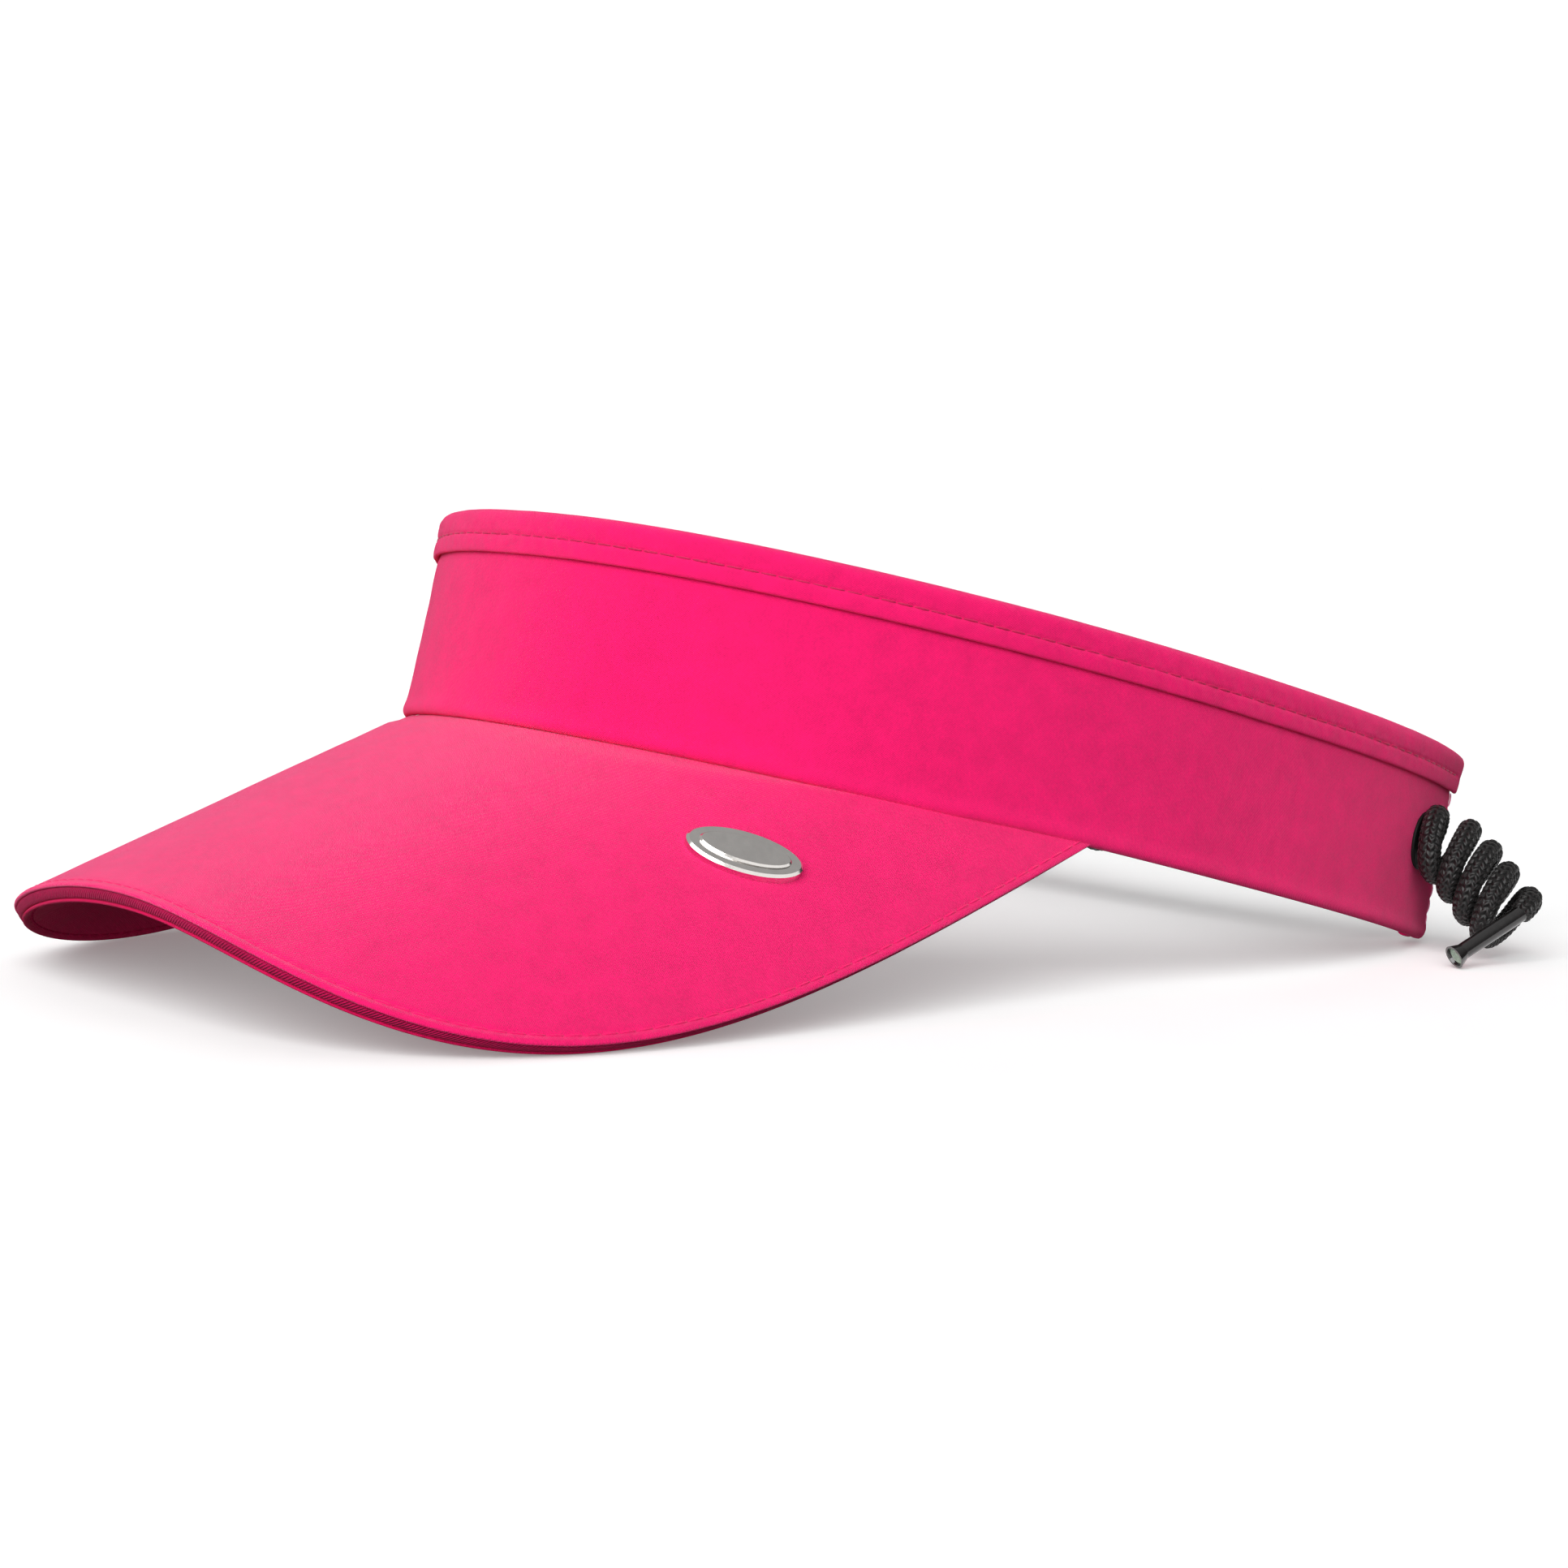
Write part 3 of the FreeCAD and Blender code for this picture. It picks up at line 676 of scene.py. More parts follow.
def band_layer(name, material, node, builder, line, front_line, hole=False):
    """One layer of the band as its front, left and right pieces."""
    front_points, wing_points = builder(*front_line), builder(*line)
    wing_along = line[0][0] + running_length(wing_points[:, wing_points.shape[1] // 3])
    joined = meeting_normals(front_points[-2], wing_points[0], wing_points[1])
    for word, side in SIDES:
        if side == 0:
            points, along = front_points, front_line[0]
        elif side > 0:
            points, along = wing_points, wing_along
        else:
            points, along = mirrored(wing_points, side), -wing_along
        piece = grid_mesh(f"{name}_{word}", points, along, material)
        if hole and side:
            punch(piece, side)
        if side >= 0:
            shade_as_one(piece, wing_points[0], joined)
        if side <= 0:
            shade_as_one(piece, wing_points[0] * MIRROR, joined * MIRROR)
        bend(piece, side)
        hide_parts(f"{node}_{word}")


front_columns = straight_columns(FRONT_LINE)
band_layer("band_fabric", cloth_band, "band_cloth", cloth_points, folded_columns(),
           front_columns, hole=True)

# ---- top hem

hem_profile = rounded([
    (0.30, 29.2), (0.02, 28.45), (-0.30, 28.14), (-0.66, 28.12), (-0.90, 28.4), (-1.00, 29.0),
    (-1.02, 29.9), (-0.98, 30.75), (-0.95, 31.2), (-0.97, 31.65), (-1.01, 32.4), (-1.06, 33.4),
    (-0.96, 34.3), (-0.55, 35.1), (0.20, 35.55), (1.1, 35.66), (2.0, 35.66), (2.9, 35.6),
    (3.6, 35.2), (4.05, 34.4), (4.2, 33.3), (4.15, 32.3), (3.92, 31.6), (3.82, 31.2), (3.95, 30.7),
    (4.18, 29.9), (4.2, 29.0), (4.0, 28.35), (3.65, 28.2), (3.3, 28.7), (2.6, 29.6), (1.2, 29.6)])
HEM_OVER = 1.0
HEM_CENTRE = (1.6, 31.8)


def hem_points(s):
    depth = hem_profile[None, :, 0]
    z = hem_profile[None, :, 1]
    side = np.sign(s)[:, None]
    reach = np.abs(s)[:, None]
    sewn = 1 - smoothstep(reach, S_END - 6, S_END - 2.5)
    seam = 0.30 * dimple(s[:, None], z - HEM_STITCH_Z, width=0.42) * sewn
    inner = smoothstep(depth, 1.5, 3.0)
    outer = 1 - inner
    calm = 1 - 0.75 * smoothstep(reach, S_END - 34, S_END - 6)
    wave = (0.10 * ripple(s[:, None], z * 2, 16.0, 21) + 0.05 * ripple(s[:, None], z * 2, 6.0, 23)) * calm
    slant = s[:, None] / STITCH_PITCH + (z - HEM_STITCH_Z) * 0.25
    beside = np.exp(-((np.abs(z - HEM_STITCH_Z) - 1.2) / 0.9) ** 2)
    pucker = 0.05 * calm * sewn * np.sin(2 * math.pi * slant) * beside
    plump = 0.25 * smoothstep(reach, S_END - 12, S_END)
    depth = depth + (seam - wave - pucker - plump) * outer - (seam - wave) * inner
    flare = (2.8 * smoothstep(z, 28.5, 35.0) - 1.2) * smoothstep(reach, S_END - 9, S_END)
    shut = np.clip((reach - (S_END - 1.4)) / (1.4 + HEM_OVER), 0, 0.985)
    shrink = np.sqrt(1 - shut ** 2)
    depth = HEM_CENTRE[0] + (depth - HEM_CENTRE[0]) * shrink
    z = HEM_CENTRE[1] + (z - HEM_CENTRE[1]) * shrink
    return band(s[:, None] + side * flare, depth, z)


hem_front, hem_side = column_lines(HEM_OVER - 0.6)
hem_side = np.concatenate([hem_side, S_END + HEM_OVER - 0.5 * 0.6 ** np.arange(0, 6)])
band_layer("hem_fabric", cloth_band, "top_hem", hem_points, (np.unique(hem_side),),
           (hem_front,))

# ---- inside of the band

sweat_profile = rounded([
    (2.0, 30.0), (3.0, 30.0), (3.3, 29.0), (3.42, 27.0), (3.55, 23.0), (3.62, 18.0), (3.62, 12.0),
    (3.58, 7.0), (3.55, 4.0), (3.5, 2.4), (3.36, 1.4), (3.0, 0.85), (2.6, 0.75), (2.25, 1.0),
    (2.05, 1.8), (2.0, 4.0), (2.0, 12.0), (2.0, 21.0)])


def sweat_points(s):
    depth = sweat_profile[None, :, 0]
    z = sweat_profile[None, :, 1]
    reach = np.abs(s)[:, None]
    drop = -1.0 * (1 - smoothstep(reach, along_at(60), along_at(72)))
    beyond = np.clip((reach - (S_END - CORNER)) / CORNER, 0, 1)
    lift = drop + CORNER * (1 - np.sqrt(1 - beyond ** 2))
    z = lift + z * (30.0 - lift) / 30.0
    face = smoothstep(depth, 2.6, 3.3)
    seam = 0.28 * dimple(s[:, None], z - lift - 2.6)
    wave = 0.16 * ripple(s[:, None], z * 1.2, 22.0, 31) + 0.07 * ripple(s[:, None], z, 5.0, 33)
    depth = depth + face * (wave * 0.7 - seam)
    return band(s[:, None], depth, z)


sweat_side = np.append(SIDE_LINE[SIDE_LINE < S_END - 2.6], S_END - 2.4)
band_layer("sweatband_fabric", towelling, "sweatband", sweat_points, (sweat_side,),
           (FRONT_LINE,), hole=True)

stiff_profile = np.array([(0.85, 3.4), (0.85, 29.5), (1.25, 29.7), (1.65, 29.5), (1.65, 3.4), (1.25, 3.2)])


def stiff_points(s):
    depth = stiff_profile[None, :, 0]
    z = stiff_profile[None, :, 1]
    return band(s[:, None], depth, z)


stiff_side = np.append(SIDE_LINE[SIDE_LINE < S_END - 4][::3], S_END - 4)
band_layer("stiffener_strip", buckram, "band_stiffener", stiff_points, (stiff_side,),
           (FRONT_LINE[::3],), hole=True)

# ---- stitches on the band


def seam_line(name, s, depth, z, side, inward=False):
    normals = outward(s) * (-1 if inward else 1)
    piece = thread_mesh(name, mirrored(band(s, depth, z), side), mirrored(normals, side), thread_pink_painted_shade)
    bend(piece, side)


front_holes = np.arange(-S_SPLIT, S_SPLIT + 0.1, STITCH_PITCH)
side_holes = np.arange(S_SPLIT, S_END - 3.5, STITCH_PITCH)
for word, side in SIDES:
    s = front_holes if side == 0 else side_holes
    plump = 0.25 * smoothstep(s, S_END - 12, S_END)
    seam_line(f"hem_stitches_{word}", s, -0.72 - plump, HEM_STITCH_Z, side)
    seam_line(f"hem_stitches_inner_{word}", s, 3.56, HEM_STITCH_Z, side, inward=True)
    inner = s[s < S_END - 5]
    drop = -1.0 * (1 - smoothstep(np.abs(inner), along_at(60), along_at(72)))
    seam_line(f"sweatband_stitches_{word}", inner, 3.36, 2.5 + drop, side, inward=True)

for word, side in SIDES[1:]:
    z = np.arange(2.2, 28.4, 2.9)
    s = np.full(len(z), S_END - END_STITCH_IN) - 0.8 * (z < 3)
    piece = thread_mesh(f"end_stitches_{word}", mirrored(band(s, -0.02, z), side),
                        mirrored(outward(s), side), thread_light, radius=0.15, lift=0.14)
    bend(piece, side)

# ---- brim

edge_turn = np.radians(np.linspace(-90, 90, 7201))
edge_depth = BRIM_CENTRE_Y + BAND_FRONT_DEPTH + BRIM_LENGTH
edge_plan = np.stack([
    BRIM_HALF_WIDTH * power(np.sin(edge_turn), BRIM_SIDE_POWER),
    BRIM_CENTRE_Y - edge_depth * np.abs(np.cos(edge_turn)) ** BRIM_FRONT_POWER], -1)
edge_plan = edge_plan[edge_plan[:, 1] < BRIM_CORNER_Y]
edge_solid = np.concatenate([edge_plan, brim_height(*edge_plan.T)[:, None]], 1)
edge_run = running_length(edge_solid)
EDGE_LENGTH = edge_run[-1]
BRIM_STITCHES = round(EDGE_LENGTH / 2.9)
BRIM_PITCH = EDGE_LENGTH / BRIM_STITCHES
edge_count = 4 * BRIM_STITCHES + 1
edge_s = np.linspace(0, EDGE_LENGTH, edge_count)
edge = np.stack([np.interp(edge_s, edge_run, edge_plan[:, m]) for m in (0, 1)], -1)
edge_along = unit(np.gradient(edge, axis=0))
edge_inward = np.stack([-edge_along[:, 1], edge_along[:, 0]], -1)

root_angles = np.linspace(-BRIM_ROOT_ANGLE, BRIM_ROOT_ANGLE, 1201)
root_s = np.interp(root_angles, ANGLES, LENGTHS)
root_plan = np.stack(plan(root_s, 2.1), -1)
root_run = running_length(root_plan)
plan_run = running_length(edge)
share = plan_run / plan_run[-1]
root = np.stack([np.interp(share * root_run[-1], root_run, root_plan[:, m]) for m in (0, 1)], -1)

ruled = root - edge
ruled_length = np.linalg.norm(ruled, axis=1)
ruled_way = ruled / ruled_length[:, None]
facing = np.einsum("ij,ij->i", ruled_way, edge_inward)
probe = 0.05
slope_in = (brim_height(*(edge + edge_inward * probe).T) - brim_height(*edge.T)) / probe
to_plan = 1 / np.sqrt(1 + slope_in ** 2) / np.maximum(facing, 0.3)
RIM_REACH = 7.0
rim_scale = np.minimum(1.0, 0.55 * ruled_length / (RIM_REACH * to_plan))
from_corner = np.minimum(edge_s, EDGE_LENGTH - edge_s)
corner_taper = 0.30 + 0.70 * smoothstep(from_corner, 0.0, 16.0)


def brim_rows(places, depths, ruled_rows=()):
    """Points at distances in from the edge, then at shares of the way on to the root, each sunk by a
    depth below the brim's upper face. Places and depths may differ from column to column."""
    result = []
    for q, d in zip(places, depths):
        reach = q * to_plan * rim_scale
        xy = edge + ruled_way * reach[:, None]
        result.append(surface_point(xy, np.broadcast_to(d, len(edge)) * corner_taper))
    start = RIM_REACH * to_plan * rim_scale
    for f, d in ruled_rows:
        reach = start + (ruled_length - start) * f
        xy = edge + ruled_way * reach[:, None]
        result.append(surface_point(xy, np.broadcast_to(d, len(edge)) * corner_taper))
    return np.stack(result, 1)


def surface_point(xy, depth):
    x, y = xy[:, 0], xy[:, 1]
    top = np.stack([x, y, brim_height(x, y)], -1)
    return top - brim_normals(x, y) * depth[:, None]


def brim_wave(points, size, seed):
    return ripple(points[..., 0], points[..., 1] * 1.2, size, seed)


def arch_run(x):
    """Length over the arch from the middle, which unrolls the brim for its weave."""
    table_x = np.linspace(0, BRIM_ARCH_HALF_WIDTH * 0.97, 400)
    table_z = brim_height(table_x, np.full(400, -60.0))
    run = running_length(np.stack([table_x, table_z], -1))
    return np.sign(x) * np.interp(np.abs(x), table_x, run)


def cloth_uv(points):
    closed = np.concatenate([points, points[:, :1]], 1)
    return np.stack([arch_run(closed[..., 0]), closed[..., 1] * math.sqrt(1 + BRIM_SLOPE ** 2)], -1)


stitch_pull = 0.5 + 0.5 * np.cos(2 * math.pi * edge_s / BRIM_PITCH)


def groove(q, centre=BRIM_STITCH_IN, width=0.50, depth=0.20):
    return depth * (0.4 + 0.6 * stitch_pull ** 2) * math.exp(-((q - centre) / width) ** 2)


# The upper cloth: over the roll at the edge and down into the crease above the strip
top_rim = [(0.80, 0.80), (0.52, 0.78), (0.24, 0.74), (0.06, 0.62), (-0.02, 0.44), (0.02, 0.26),
           (0.16, 0.11), (0.40, 0.02), (0.70, -0.03), (1.0, -0.02), (1.25, 0.0), (1.42, 0.0),
           (1.6, 0.0), (1.78, 0.0), (1.95, 0.0), (2.2, -0.01), (2.6, -0.02), (3.2, -0.01), (4.0, 0.0),
           (5.2, 0.0), (7.0, 0.0)]
places = [q for q, d in top_rim]
depths = [d + (groove(q) if q > 0.7 else 0.0) for q, d in top_rim]
shares = np.linspace(0, 1, 34)[1:]
CREASE_DEPTH = 0.55
over = [(f, CREASE_DEPTH * float(smoothstep(f, 0.91, 0.95))) for f in shares]
back_shares = (1.0, 0.92, 0.8, 0.6, 0.4, 0.2, 0.0)
back = [(f, CREASE_DEPTH + 0.5 * float(smoothstep(f, 0.6, 0.91))) for f in back_shares]
top_points = brim_rows(places, depths, over + back)
grain = 0.10 * brim_wave(top_points, 30.0, 41) + 0.03 * brim_wave(top_points, 9.0, 43)
face_rows = slice(places.index(BRIM_STITCH_IN), len(places) + len(over))
top_points[:, face_rows, 2] += grain[:, face_rows]
brim_top = grid_mesh("brim_top_fabric", top_points, edge_s, cloth_pink, cloth_uv(top_points))
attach(brim_top, "front")
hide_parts("brim_top_cloth")

# The twill strip between the creases, in a darker pink that is painted shade of the edge facing forward and
# down
strip_rim = [(0.90, 0.74), (0.50, 0.78), (0.22, 0.88), (0.06, 1.06), (0.0, 1.35), (-0.03, 1.75),
             (0.0, 2.15), (0.07, 2.46), (0.24, 2.66), (0.52, 2.76), (0.90, 2.80), (0.95, 1.75)]
strip_points = brim_rows([q for q, d in strip_rim], [d for q, d in strip_rim])
strip = grid_mesh("brim_strip_fabric", strip_points, edge_s, cloth_strip_painted_shade)
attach(strip, "front")
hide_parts("brim_edge_strip")

# The under cloth, in a darker pink than the upper as painted shade: the lower rim, then the underside
# thinning towards the seam at the root
THICK = 3.4
ROOT_THICK = 1.3
under_rim = [(0.80, 2.70), (0.50, 2.74), (0.22, 2.80), (0.05, 2.92), (0.0, 3.06), (0.05, 3.22),
             (0.20, 3.36), (0.45, 3.42), (0.8, 3.43), (1.1, 3.42), (1.35, 3.40), (1.6, 3.38),
             (1.85, 3.40), (2.1, 3.42), (2.6, 3.42), (3.4, 3.4), (4.6, 3.4), (7.0, 3.4)]
places = [q for q, d in under_rim]
depths = [d - (groove(q, depth=0.2) if q > 0.7 else 0.0) for q, d in under_rim]
under_over = [(f, THICK + (ROOT_THICK - THICK) * float(smoothstep(f, 0.25, 1.0))) for f in shares[1::2]]
under_back = [(f, ROOT_THICK - 0.5 + (THICK - ROOT_THICK) * (1 - float(smoothstep(f, 0.25, 1.0))))
              for f in (1.0, 0.75, 0.5, 0.25, 0.0)]
under_points = brim_rows(places, depths, under_over + under_back)
brim_under = grid_mesh("brim_under_fabric", under_points, edge_s, cloth_under_painted_shade, cloth_uv(under_points))
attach(brim_under, "front")
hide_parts("brim_under_cloth")


def brim_seam(name, depth, sign, material):
    picks = np.arange(4, edge_count - 4, 4)
    reach = (BRIM_STITCH_IN * to_plan * rim_scale)[picks]
    xy = edge[picks] + ruled_way[picks] * reach[:, None]
    normals = brim_normals(xy[:, 0], xy[:, 1])
    holes = surface_point(xy, depth * corner_taper[picks])
    piece = thread_mesh(name, holes, normals * sign, material)
    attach(piece, "front")


brim_seam("brim_stitches_top", 0.20, 1, thread_brim)
brim_seam("brim_stitches_under", 3.24, -1, thread_under_painted_shade)

# ---- care label

label_z = np.linspace(5.0, 24.0, 30)
label_across = np.linspace(along_at(96), along_at(103), 16)
curl = 0.9 * (1 - smoothstep(label_z, 5, 14))[None, :]
sag = 0.12 * ripple(label_across[:, None], label_z[None, :], 12.0, 51)
face_depth = 3.98 + curl + sag
face_depth[:, -6:] = 3.80 + 0.06 * np.arange(5, -1, -1)[None, :]
outer_face = band(label_across[:, None], face_depth, label_z[None, :])
inner_face = band(label_across[:, None], face_depth - 0.22, label_z[None, :])
label_points = np.concatenate([outer_face, inner_face[:, ::-1]], 1)
label = grid_mesh("care_label_tape", label_points, label_across, satin)
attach(label, "left_wing")
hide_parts("care_label")
label_holes = np.linspace(along_at(96) + 0.6, along_at(103) - 0.6, 7)
label_seam = thread_mesh("care_label_stitches", band(label_holes, 3.84, 22.6), -outward(label_holes),
                         thread_pink_painted_shade, 0.14, 0.1)
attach(label_seam, "left_wing")

# ---- lace

UP = np.array([0.0, -SIN_TILT, COS_TILT])
eye_centre, eye_normal = eyelet_place()
eye_forward = np.array([-eye_normal[1], eye_normal[0], 0.0])
if eye_forward[1] > 0:
    eye_forward = -eye_forward
down = -UP
level = unit(down - eye_normal * down.dot(eye_normal))


def tail_axis(u):
    """Where the coil's axis is, and how far it has bent, at a distance from the eyelet's outer end."""
    start = eye_centre + eye_normal * 1.2
    if u < TAIL_STRAIGHT:
        return start + eye_normal * u, 0.0
    bend_length = TAIL_BEND_RADIUS * TAIL_BEND
    angle = min(u - TAIL_STRAIGHT, bend_length) / TAIL_BEND_RADIUS
    centre = start + eye_normal * TAIL_STRAIGHT + level * TAIL_BEND_RADIUS
    place = centre + (eye_normal * math.sin(angle) - level * math.cos(angle)) * TAIL_BEND_RADIUS
    return place + bent_way(angle) * max(0.0, u - TAIL_STRAIGHT - bend_length), angle


def bent_way(angle):
    return eye_normal * math.cos(angle) + level * math.sin(angle)


TAIL_LENGTH = TAIL_STRAIGHT + TAIL_BEND_RADIUS * TAIL_BEND + TAIL_END
TAIL_TURNS = 4 + AGLET_PHASE / (2 * math.pi)
FIRST_TOP = 1.2                  # the first turn lies on the eyelet's flange
LOOP_LEAN = 0.5                  # the turns lean half as much as the axis has bent
HELIX_STEP = math.radians(24)
BRIDGE_PITCH = 7.4
AT_CONTROL = 1 / math.cos(HELIX_STEP / 2)


def ring_frame(way):
    """Forward and low directions square to a direction."""
    forward = unit(eye_forward - way * way.dot(eye_forward))
    low = np.cross(way, forward)
    if low.dot(down) < 0:
        low = -low
    return forward, low


def tail_mean(turn):
    """The turns' mean radius: the first is tight in the eyelet, the others open out."""
    opening = 0.5 + (5.0 - 0.5) * float(smoothstep(turn, -0.36, 0.06))
    return opening + (COIL_MEAN - 5.0) * float(smoothstep(turn, 0.2, 2.2))


def tail_route():
    """The near tail: out of the eyelet, round the coil's turns and into the sleeve."""
    points = [eye_centre - eye_normal * d for d in (5.0, 3.2, 1.4)]
    last = TAIL_LENGTH + AGLET_RADIUS + 0.05
    pitch = (last - FIRST_TOP) / TAIL_TURNS
    count = int((TAIL_TURNS + 0.36) * 2 * math.pi / HELIX_STEP)
    for index in range(count):
        turn = TAIL_TURNS - (count - index) * HELIX_STEP / (2 * math.pi)
        phase = 2 * math.pi * turn
        place, bent = tail_axis(max(0.0, FIRST_TOP + pitch * turn))
        straightened = float(smoothstep(turn, TAIL_TURNS - 0.35, TAIL_TURNS))
        forward, low = ring_frame(bent_way(bent * (LOOP_LEAN + (1 - LOOP_LEAN) * straightened)))
        radial = forward * math.sin(phase) - low * math.cos(phase)
        forwards = eye_forward * 1.2 * (1 - float(smoothstep(turn, 0.4, 1.2)))
        points.append(place + forwards + radial * tail_mean(turn) * AT_CONTROL)
    forward, low = ring_frame(bent_way(TAIL_BEND))
    way = forward * math.cos(AGLET_PHASE) + low * math.sin(AGLET_PHASE)
    mouth = tail_axis(last)[0] + (forward * math.sin(AGLET_PHASE) - low * math.cos(AGLET_PHASE)) * COIL_MEAN
    points += [mouth + way * d for d in (0.6, 2.2, 3.6, 5.0)]
    return np.array(points)


def bridge_axis():
    """The coil's axis from inside the left eyelet to inside the right one, as evenly spaced samples."""
    inside = eye_centre - eye_normal * 5.0
    across = np.array([-1.0, 0.0, 0.0])
    angle = math.acos(float(-eye_normal.dot(across)))
    inward = unit(across - -eye_normal * float(-eye_normal.dot(across)))
    points = [inside - eye_normal * d for d in np.linspace(0, BRIDGE_STRAIGHT, 7)]
    centre = points[-1] + inward * BRIDGE_BEND_RADIUS
    for a in np.linspace(0, angle, 40)[1:]:
        points.append(centre + (-eye_normal * math.sin(a) - inward * math.cos(a)) * BRIDGE_BEND_RADIUS)
    points = np.array(points)
    run_in = np.linspace(points[-1][0], 0, 60)[1:]
    straight = np.array([[x, points[-1][1], points[-1][2]] for x in run_in])
    half = np.concatenate([points, straight])
    whole = np.concatenate([half, (half * MIRROR)[::-1][1:]])
    sag = 1 - (whole[:, 0] / inside[0]) ** 2
    return whole - UP * (3.6 * sag)[:, None]


def bridge_route():
    """The whole bridge: a coil that is one handed throughout, so that its halves meet in the middle."""
    axis = bridge_axis()
    run = running_length(axis)
    total = run[-1]
    turns = round((total - 9.0) / BRIDGE_PITCH)
    count = int(turns * 2 * math.pi / HELIX_STEP)
    points = [eye_centre - eye_normal * d for d in (3.0, 4.6)]
    for index in range(count + 1):
        phase = (index - count / 2) * HELIX_STEP + math.pi / 2
        u = 3.0 + (total - 6.0) * index / count
        place = np.array([np.interp(u, run, axis[:, m]) for m in range(3)])
        ahead = np.array([np.interp(min(u + 0.8, total), run, axis[:, m]) for m in range(3)])
        behind = np.array([np.interp(max(u - 0.8, 0), run, axis[:, m]) for m in range(3)])
        way = unit(ahead - behind)
        high = unit(UP - way * way.dot(UP))
        side = np.cross(way, high)
        grow = float(smoothstep(min(index, count - index), 0, 10))
        radius = 0.5 + (COIL_MEAN * AT_CONTROL - 0.5) * grow
        points.append(place + (high * math.cos(phase) + side * math.sin(phase)) * radius)
    points += [(eye_centre - eye_normal * d) * MIRROR for d in (4.6, 3.0)]
    return np.array(points)


def spline_points(route):
    """The smooth line of a NURBS spline through the row frame, read back as close points."""
    data = bpy.data.curves.new("route", "CURVE")
    data.dimensions = "3D"
    data.resolution_u = 14
    spline = data.splines.new("NURBS")
    spline.points.add(len(route) - 1)
    spline.points.foreach_set("co", np.concatenate([row(route), np.ones((len(route), 1))], 1).ravel())
    spline.order_u = 3
    spline.use_endpoint_u = True
    holder = bpy.data.objects.new("route", data)
    bpy.context.scene.collection.objects.link(holder)
    bpy.context.view_layer.update()
    mesh = bpy.data.meshes.new_from_object(holder.evaluated_get(bpy.context.evaluated_depsgraph_get()))
    line = np.array([v.co for v in mesh.vertices])
    bpy.data.objects.remove(holder)
    bpy.data.curves.remove(data)
    bpy.data.meshes.remove(mesh)
    return line


def evenly(line, spacing):
    """The same line as evenly spaced points, and its length."""
    run = running_length(line)
    count = max(8, round(run[-1] / spacing))
    wanted = np.linspace(0, run[-1], count + 1)
    return np.stack([np.interp(wanted, run, line[:, m]) for m in range(3)], -1), run[-1]


def lace_mesh(name, line, radii, sides):
    """A round braid along a line: columns of chevrons with a shallow groove between them."""
    way = unit(np.gradient(line, axis=0))
    first = np.zeros_like(line)
    current = unit(np.cross(way[0], [0.3, 0.5, 0.8]))
    for index in range(len(line)):
        current = unit(current - way[index] * way[index].dot(current))
        first[index] = current
    second = np.cross(way, first)
    run = running_length(line)
    turn = np.arange(sides) * 2 * math.pi / sides
    vee = np.abs((turn * BRAID_COLUMNS / (2 * math.pi)) % 1 - 0.5)[None, :] * 2
    yarn = np.cos(2 * math.pi * run[:, None] / BRAID_PITCH + vee * math.pi)
    radius = radii[:, None] * (1.0 + 0.030 * yarn - 0.06 * vee ** 4)
    ring = first[:, None] * np.cos(turn)[None, :, None] + second[:, None] * np.sin(turn)[None, :, None]
    around = np.arange(sides + 1) * 2 * math.pi / sides * LACE_RADIUS * 0.001
    uv = np.stack(np.meshgrid(run, around, indexing="ij"), -1)
    return tube(name, line[:, None] + ring * radius[..., None], uv, lace_braid, flat=0, backward=True)


def tapered(count, total, gripped, thin):
    """Full radius all along, thinned over the last stretch that a sleeve grips."""
    run = np.linspace(0, total, count)
    start = total - gripped
    return LACE_RADIUS * 0.001 * (1 - (1 - thin) * smoothstep(run, start, start + 0.0016))


tail_line, tail_total = evenly(spline_points(tail_route()), 0.00027)
for word, side in SIDES[1:]:
    line = mirrored(tail_line, side)
    radii = tapered(len(line), tail_total, 0.0052, 0.50)
    tail = lace_mesh(f"lace_coil_tail_{word}", line, radii, 40)
    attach(tail, f"{word}_wing")
    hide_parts(f"lace_tail_{word}")

bridge_line = evenly(spline_points(bridge_route()), 0.00036)[0]
middle = len(bridge_line) // 2
halves = {"left": bridge_line[:middle + 1], "right": bridge_line[middle:][::-1]}
for word, side in SIDES[1:]:
    line = halves[word]
    half = lace_mesh(f"lace_coil_bridge_{word}", line, np.full(len(line), LACE_RADIUS * 0.001), 32)
    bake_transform(half)
    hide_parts(f"lace_bridge_{word}")

# ---- CAD parts that stay

KEPT = {"brim_board": buckram, "badge": nickel, "badge_washers": nickel,
        "eyelet_left": enamel, "eyelet_right": enamel, "eyelet_washer_left": enamel,
        "eyelet_washer_right": enamel, "aglet_left": sleeve_black, "aglet_right": sleeve_black,
        "aglet_plug_left": core_pale, "aglet_plug_right": core_pale}
for node, material in KEPT.items():
    materials = frame["nodes"][node].data.materials
    materials.clear()
    materials.append(material)

# ---- floor, light and camera


FLOOR_HALF = 6.0
WALL_SIDES = 48
SKY_FROM = (-0.25, -0.65, 0.72)
KEY_TOWARDS = Vector((-0.50, 0.70, -0.52))
AZIMUTH = math.radians(47.99)
ELEVATION = math.radians(6.25)
ROLL = math.radians(1.52)
TARGET = np.array([-0.0309, 0.0406, 0.0240])
DISTANCE = 0.626
LENS = 74.21


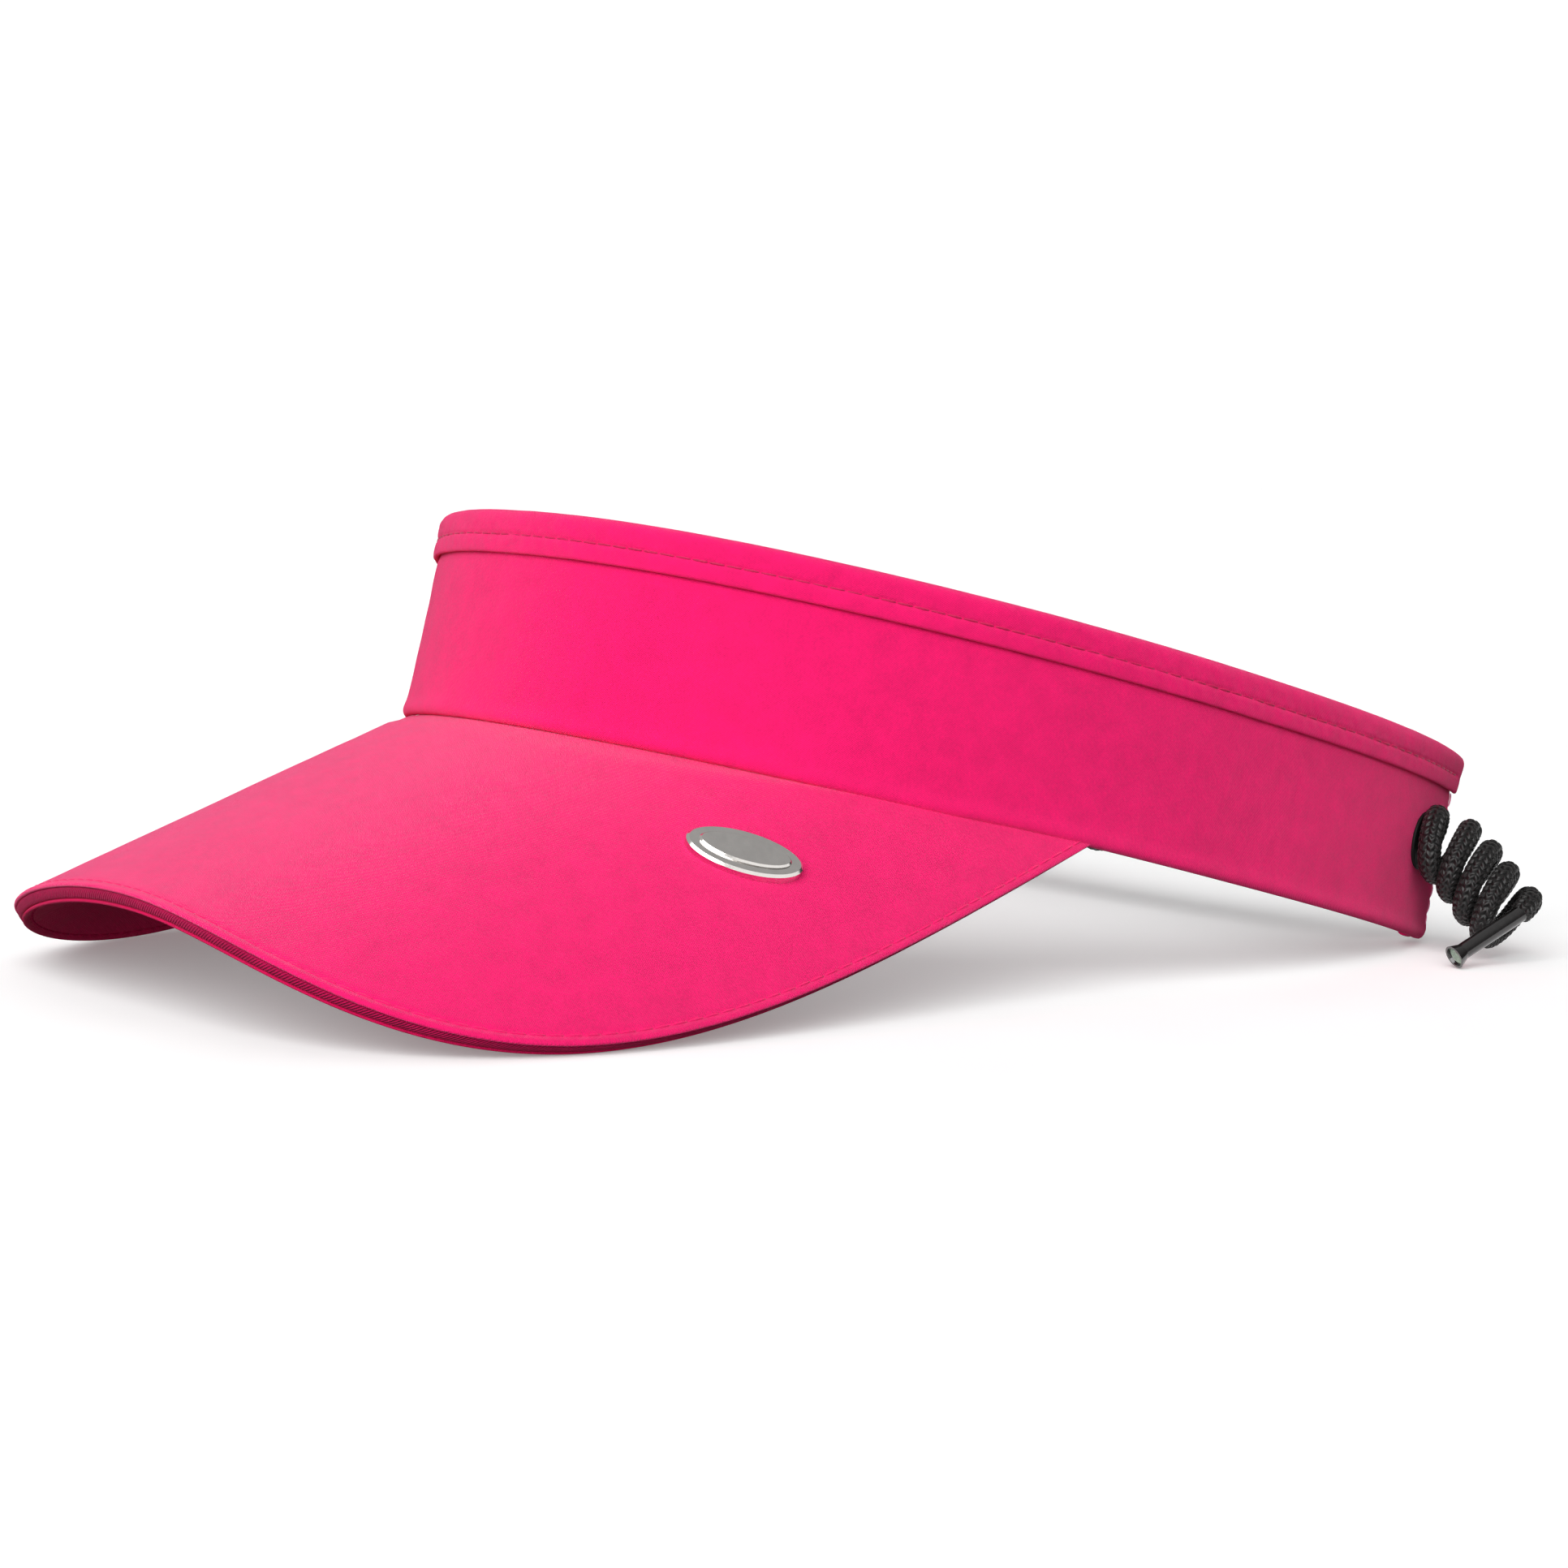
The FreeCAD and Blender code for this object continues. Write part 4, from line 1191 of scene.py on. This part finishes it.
def studio_floor():
    """A pale floor that reaches far past the object."""
    paint = plain("floor_paint", (0.90, 0.90, 0.90), 0.8, 30, 0.0001, 0.01, Specular_IOR_Level=0.1,
                  Emission_Color=(1, 1, 1, 1), Emission_Strength=0.20)
    corners = [(x * FLOOR_HALF, y * FLOOR_HALF, 0) for x, y in ((-1, -1), (1, -1), (1, 1), (-1, 1))]
    floor = new_piece("floor", corners, [(0, 1, 2, 3)], paint, flat=1)
    floor.visible_diffuse = False


def studio_wall():
    """A white studio wall far behind, seen by the camera only, so that it adds no light."""
    paint = new_material("backdrop_paint", (0.0, 0.0, 0.0), 1.0, Emission_Color=(1, 1, 1, 1),
                         Emission_Strength=1.10, Specular_IOR_Level=0.0)
    turn = np.arange(WALL_SIDES) * 2 * math.pi / WALL_SIDES
    verts = [(FLOOR_HALF * math.cos(a), FLOOR_HALF * math.sin(a), z) for z in (-0.5, 8.0) for a in turn]
    quads = tube_faces(2, WALL_SIDES)[0]
    wall = new_piece("backdrop", verts, quads[:, ::-1].tolist(), paint, flat=len(quads))
    wall.visible_diffuse = False
    wall.visible_glossy = False
    wall.visible_shadow = False


def studio_light():
    """Soft light all round, strongest from above and in front, and one broad lamp."""
    world = bpy.data.worlds.new("studio")
    world.use_nodes = True
    tree = world.node_tree
    sky = tree.nodes["Background"]
    sky.inputs["Color"].default_value = (1, 1, 1, 1)
    direction = tree.nodes.new("ShaderNodeTexCoord")
    facing = tree.nodes.new("ShaderNodeVectorMath")
    facing.operation = "DOT_PRODUCT"
    facing.inputs[1].default_value = SKY_FROM
    fade = tree.nodes.new("ShaderNodeMapRange")
    for socket, value in (("From Min", -0.5), ("From Max", 0.6), ("To Min", 0.06), ("To Max", 0.46)):
        fade.inputs[socket].default_value = value
    tree.links.new(direction.outputs["Generated"], facing.inputs[0])
    tree.links.new(facing.outputs["Value"], fade.inputs["Value"])
    tree.links.new(fade.outputs["Result"], sky.inputs["Strength"])
    bpy.context.scene.world = world
    key = bpy.data.lights.new("key", "SUN")
    key.energy = 3.5
    key.angle = math.radians(60)
    lamp = bpy.data.objects.new("key", key)
    bpy.context.scene.collection.objects.link(lamp)
    lamp.rotation_euler = KEY_TOWARDS.to_track_quat("-Z", "Y").to_euler()


def studio_camera():
    """A camera that looks at TARGET from DISTANCE, rolled a little about its own line of sight."""
    out = np.array([math.sin(AZIMUTH) * math.cos(ELEVATION), -math.cos(AZIMUTH) * math.cos(ELEVATION),
                    math.sin(ELEVATION)])
    level_right = np.array([math.cos(AZIMUTH), math.sin(AZIMUTH), 0.0])
    level_up = np.cross(out, level_right)
    matrix = np.eye(4)
    matrix[:3, 0] = level_right * math.cos(ROLL) + level_up * math.sin(ROLL)
    matrix[:3, 1] = level_up * math.cos(ROLL) - level_right * math.sin(ROLL)
    matrix[:3, 2] = out
    matrix[:3, 3] = TARGET + out * DISTANCE
    data = bpy.data.cameras.new("camera")
    data.sensor_width = 36.0
    data.lens = LENS
    data.clip_start = 0.01
    camera = bpy.data.objects.new("camera", data)
    bpy.context.scene.collection.objects.link(camera)
    camera.matrix_world = Matrix(matrix.tolist())
    bpy.context.scene.camera = camera


studio_floor()
studio_wall()
studio_light()
studio_camera()
bpy.context.scene.view_settings.view_transform = "Standard"
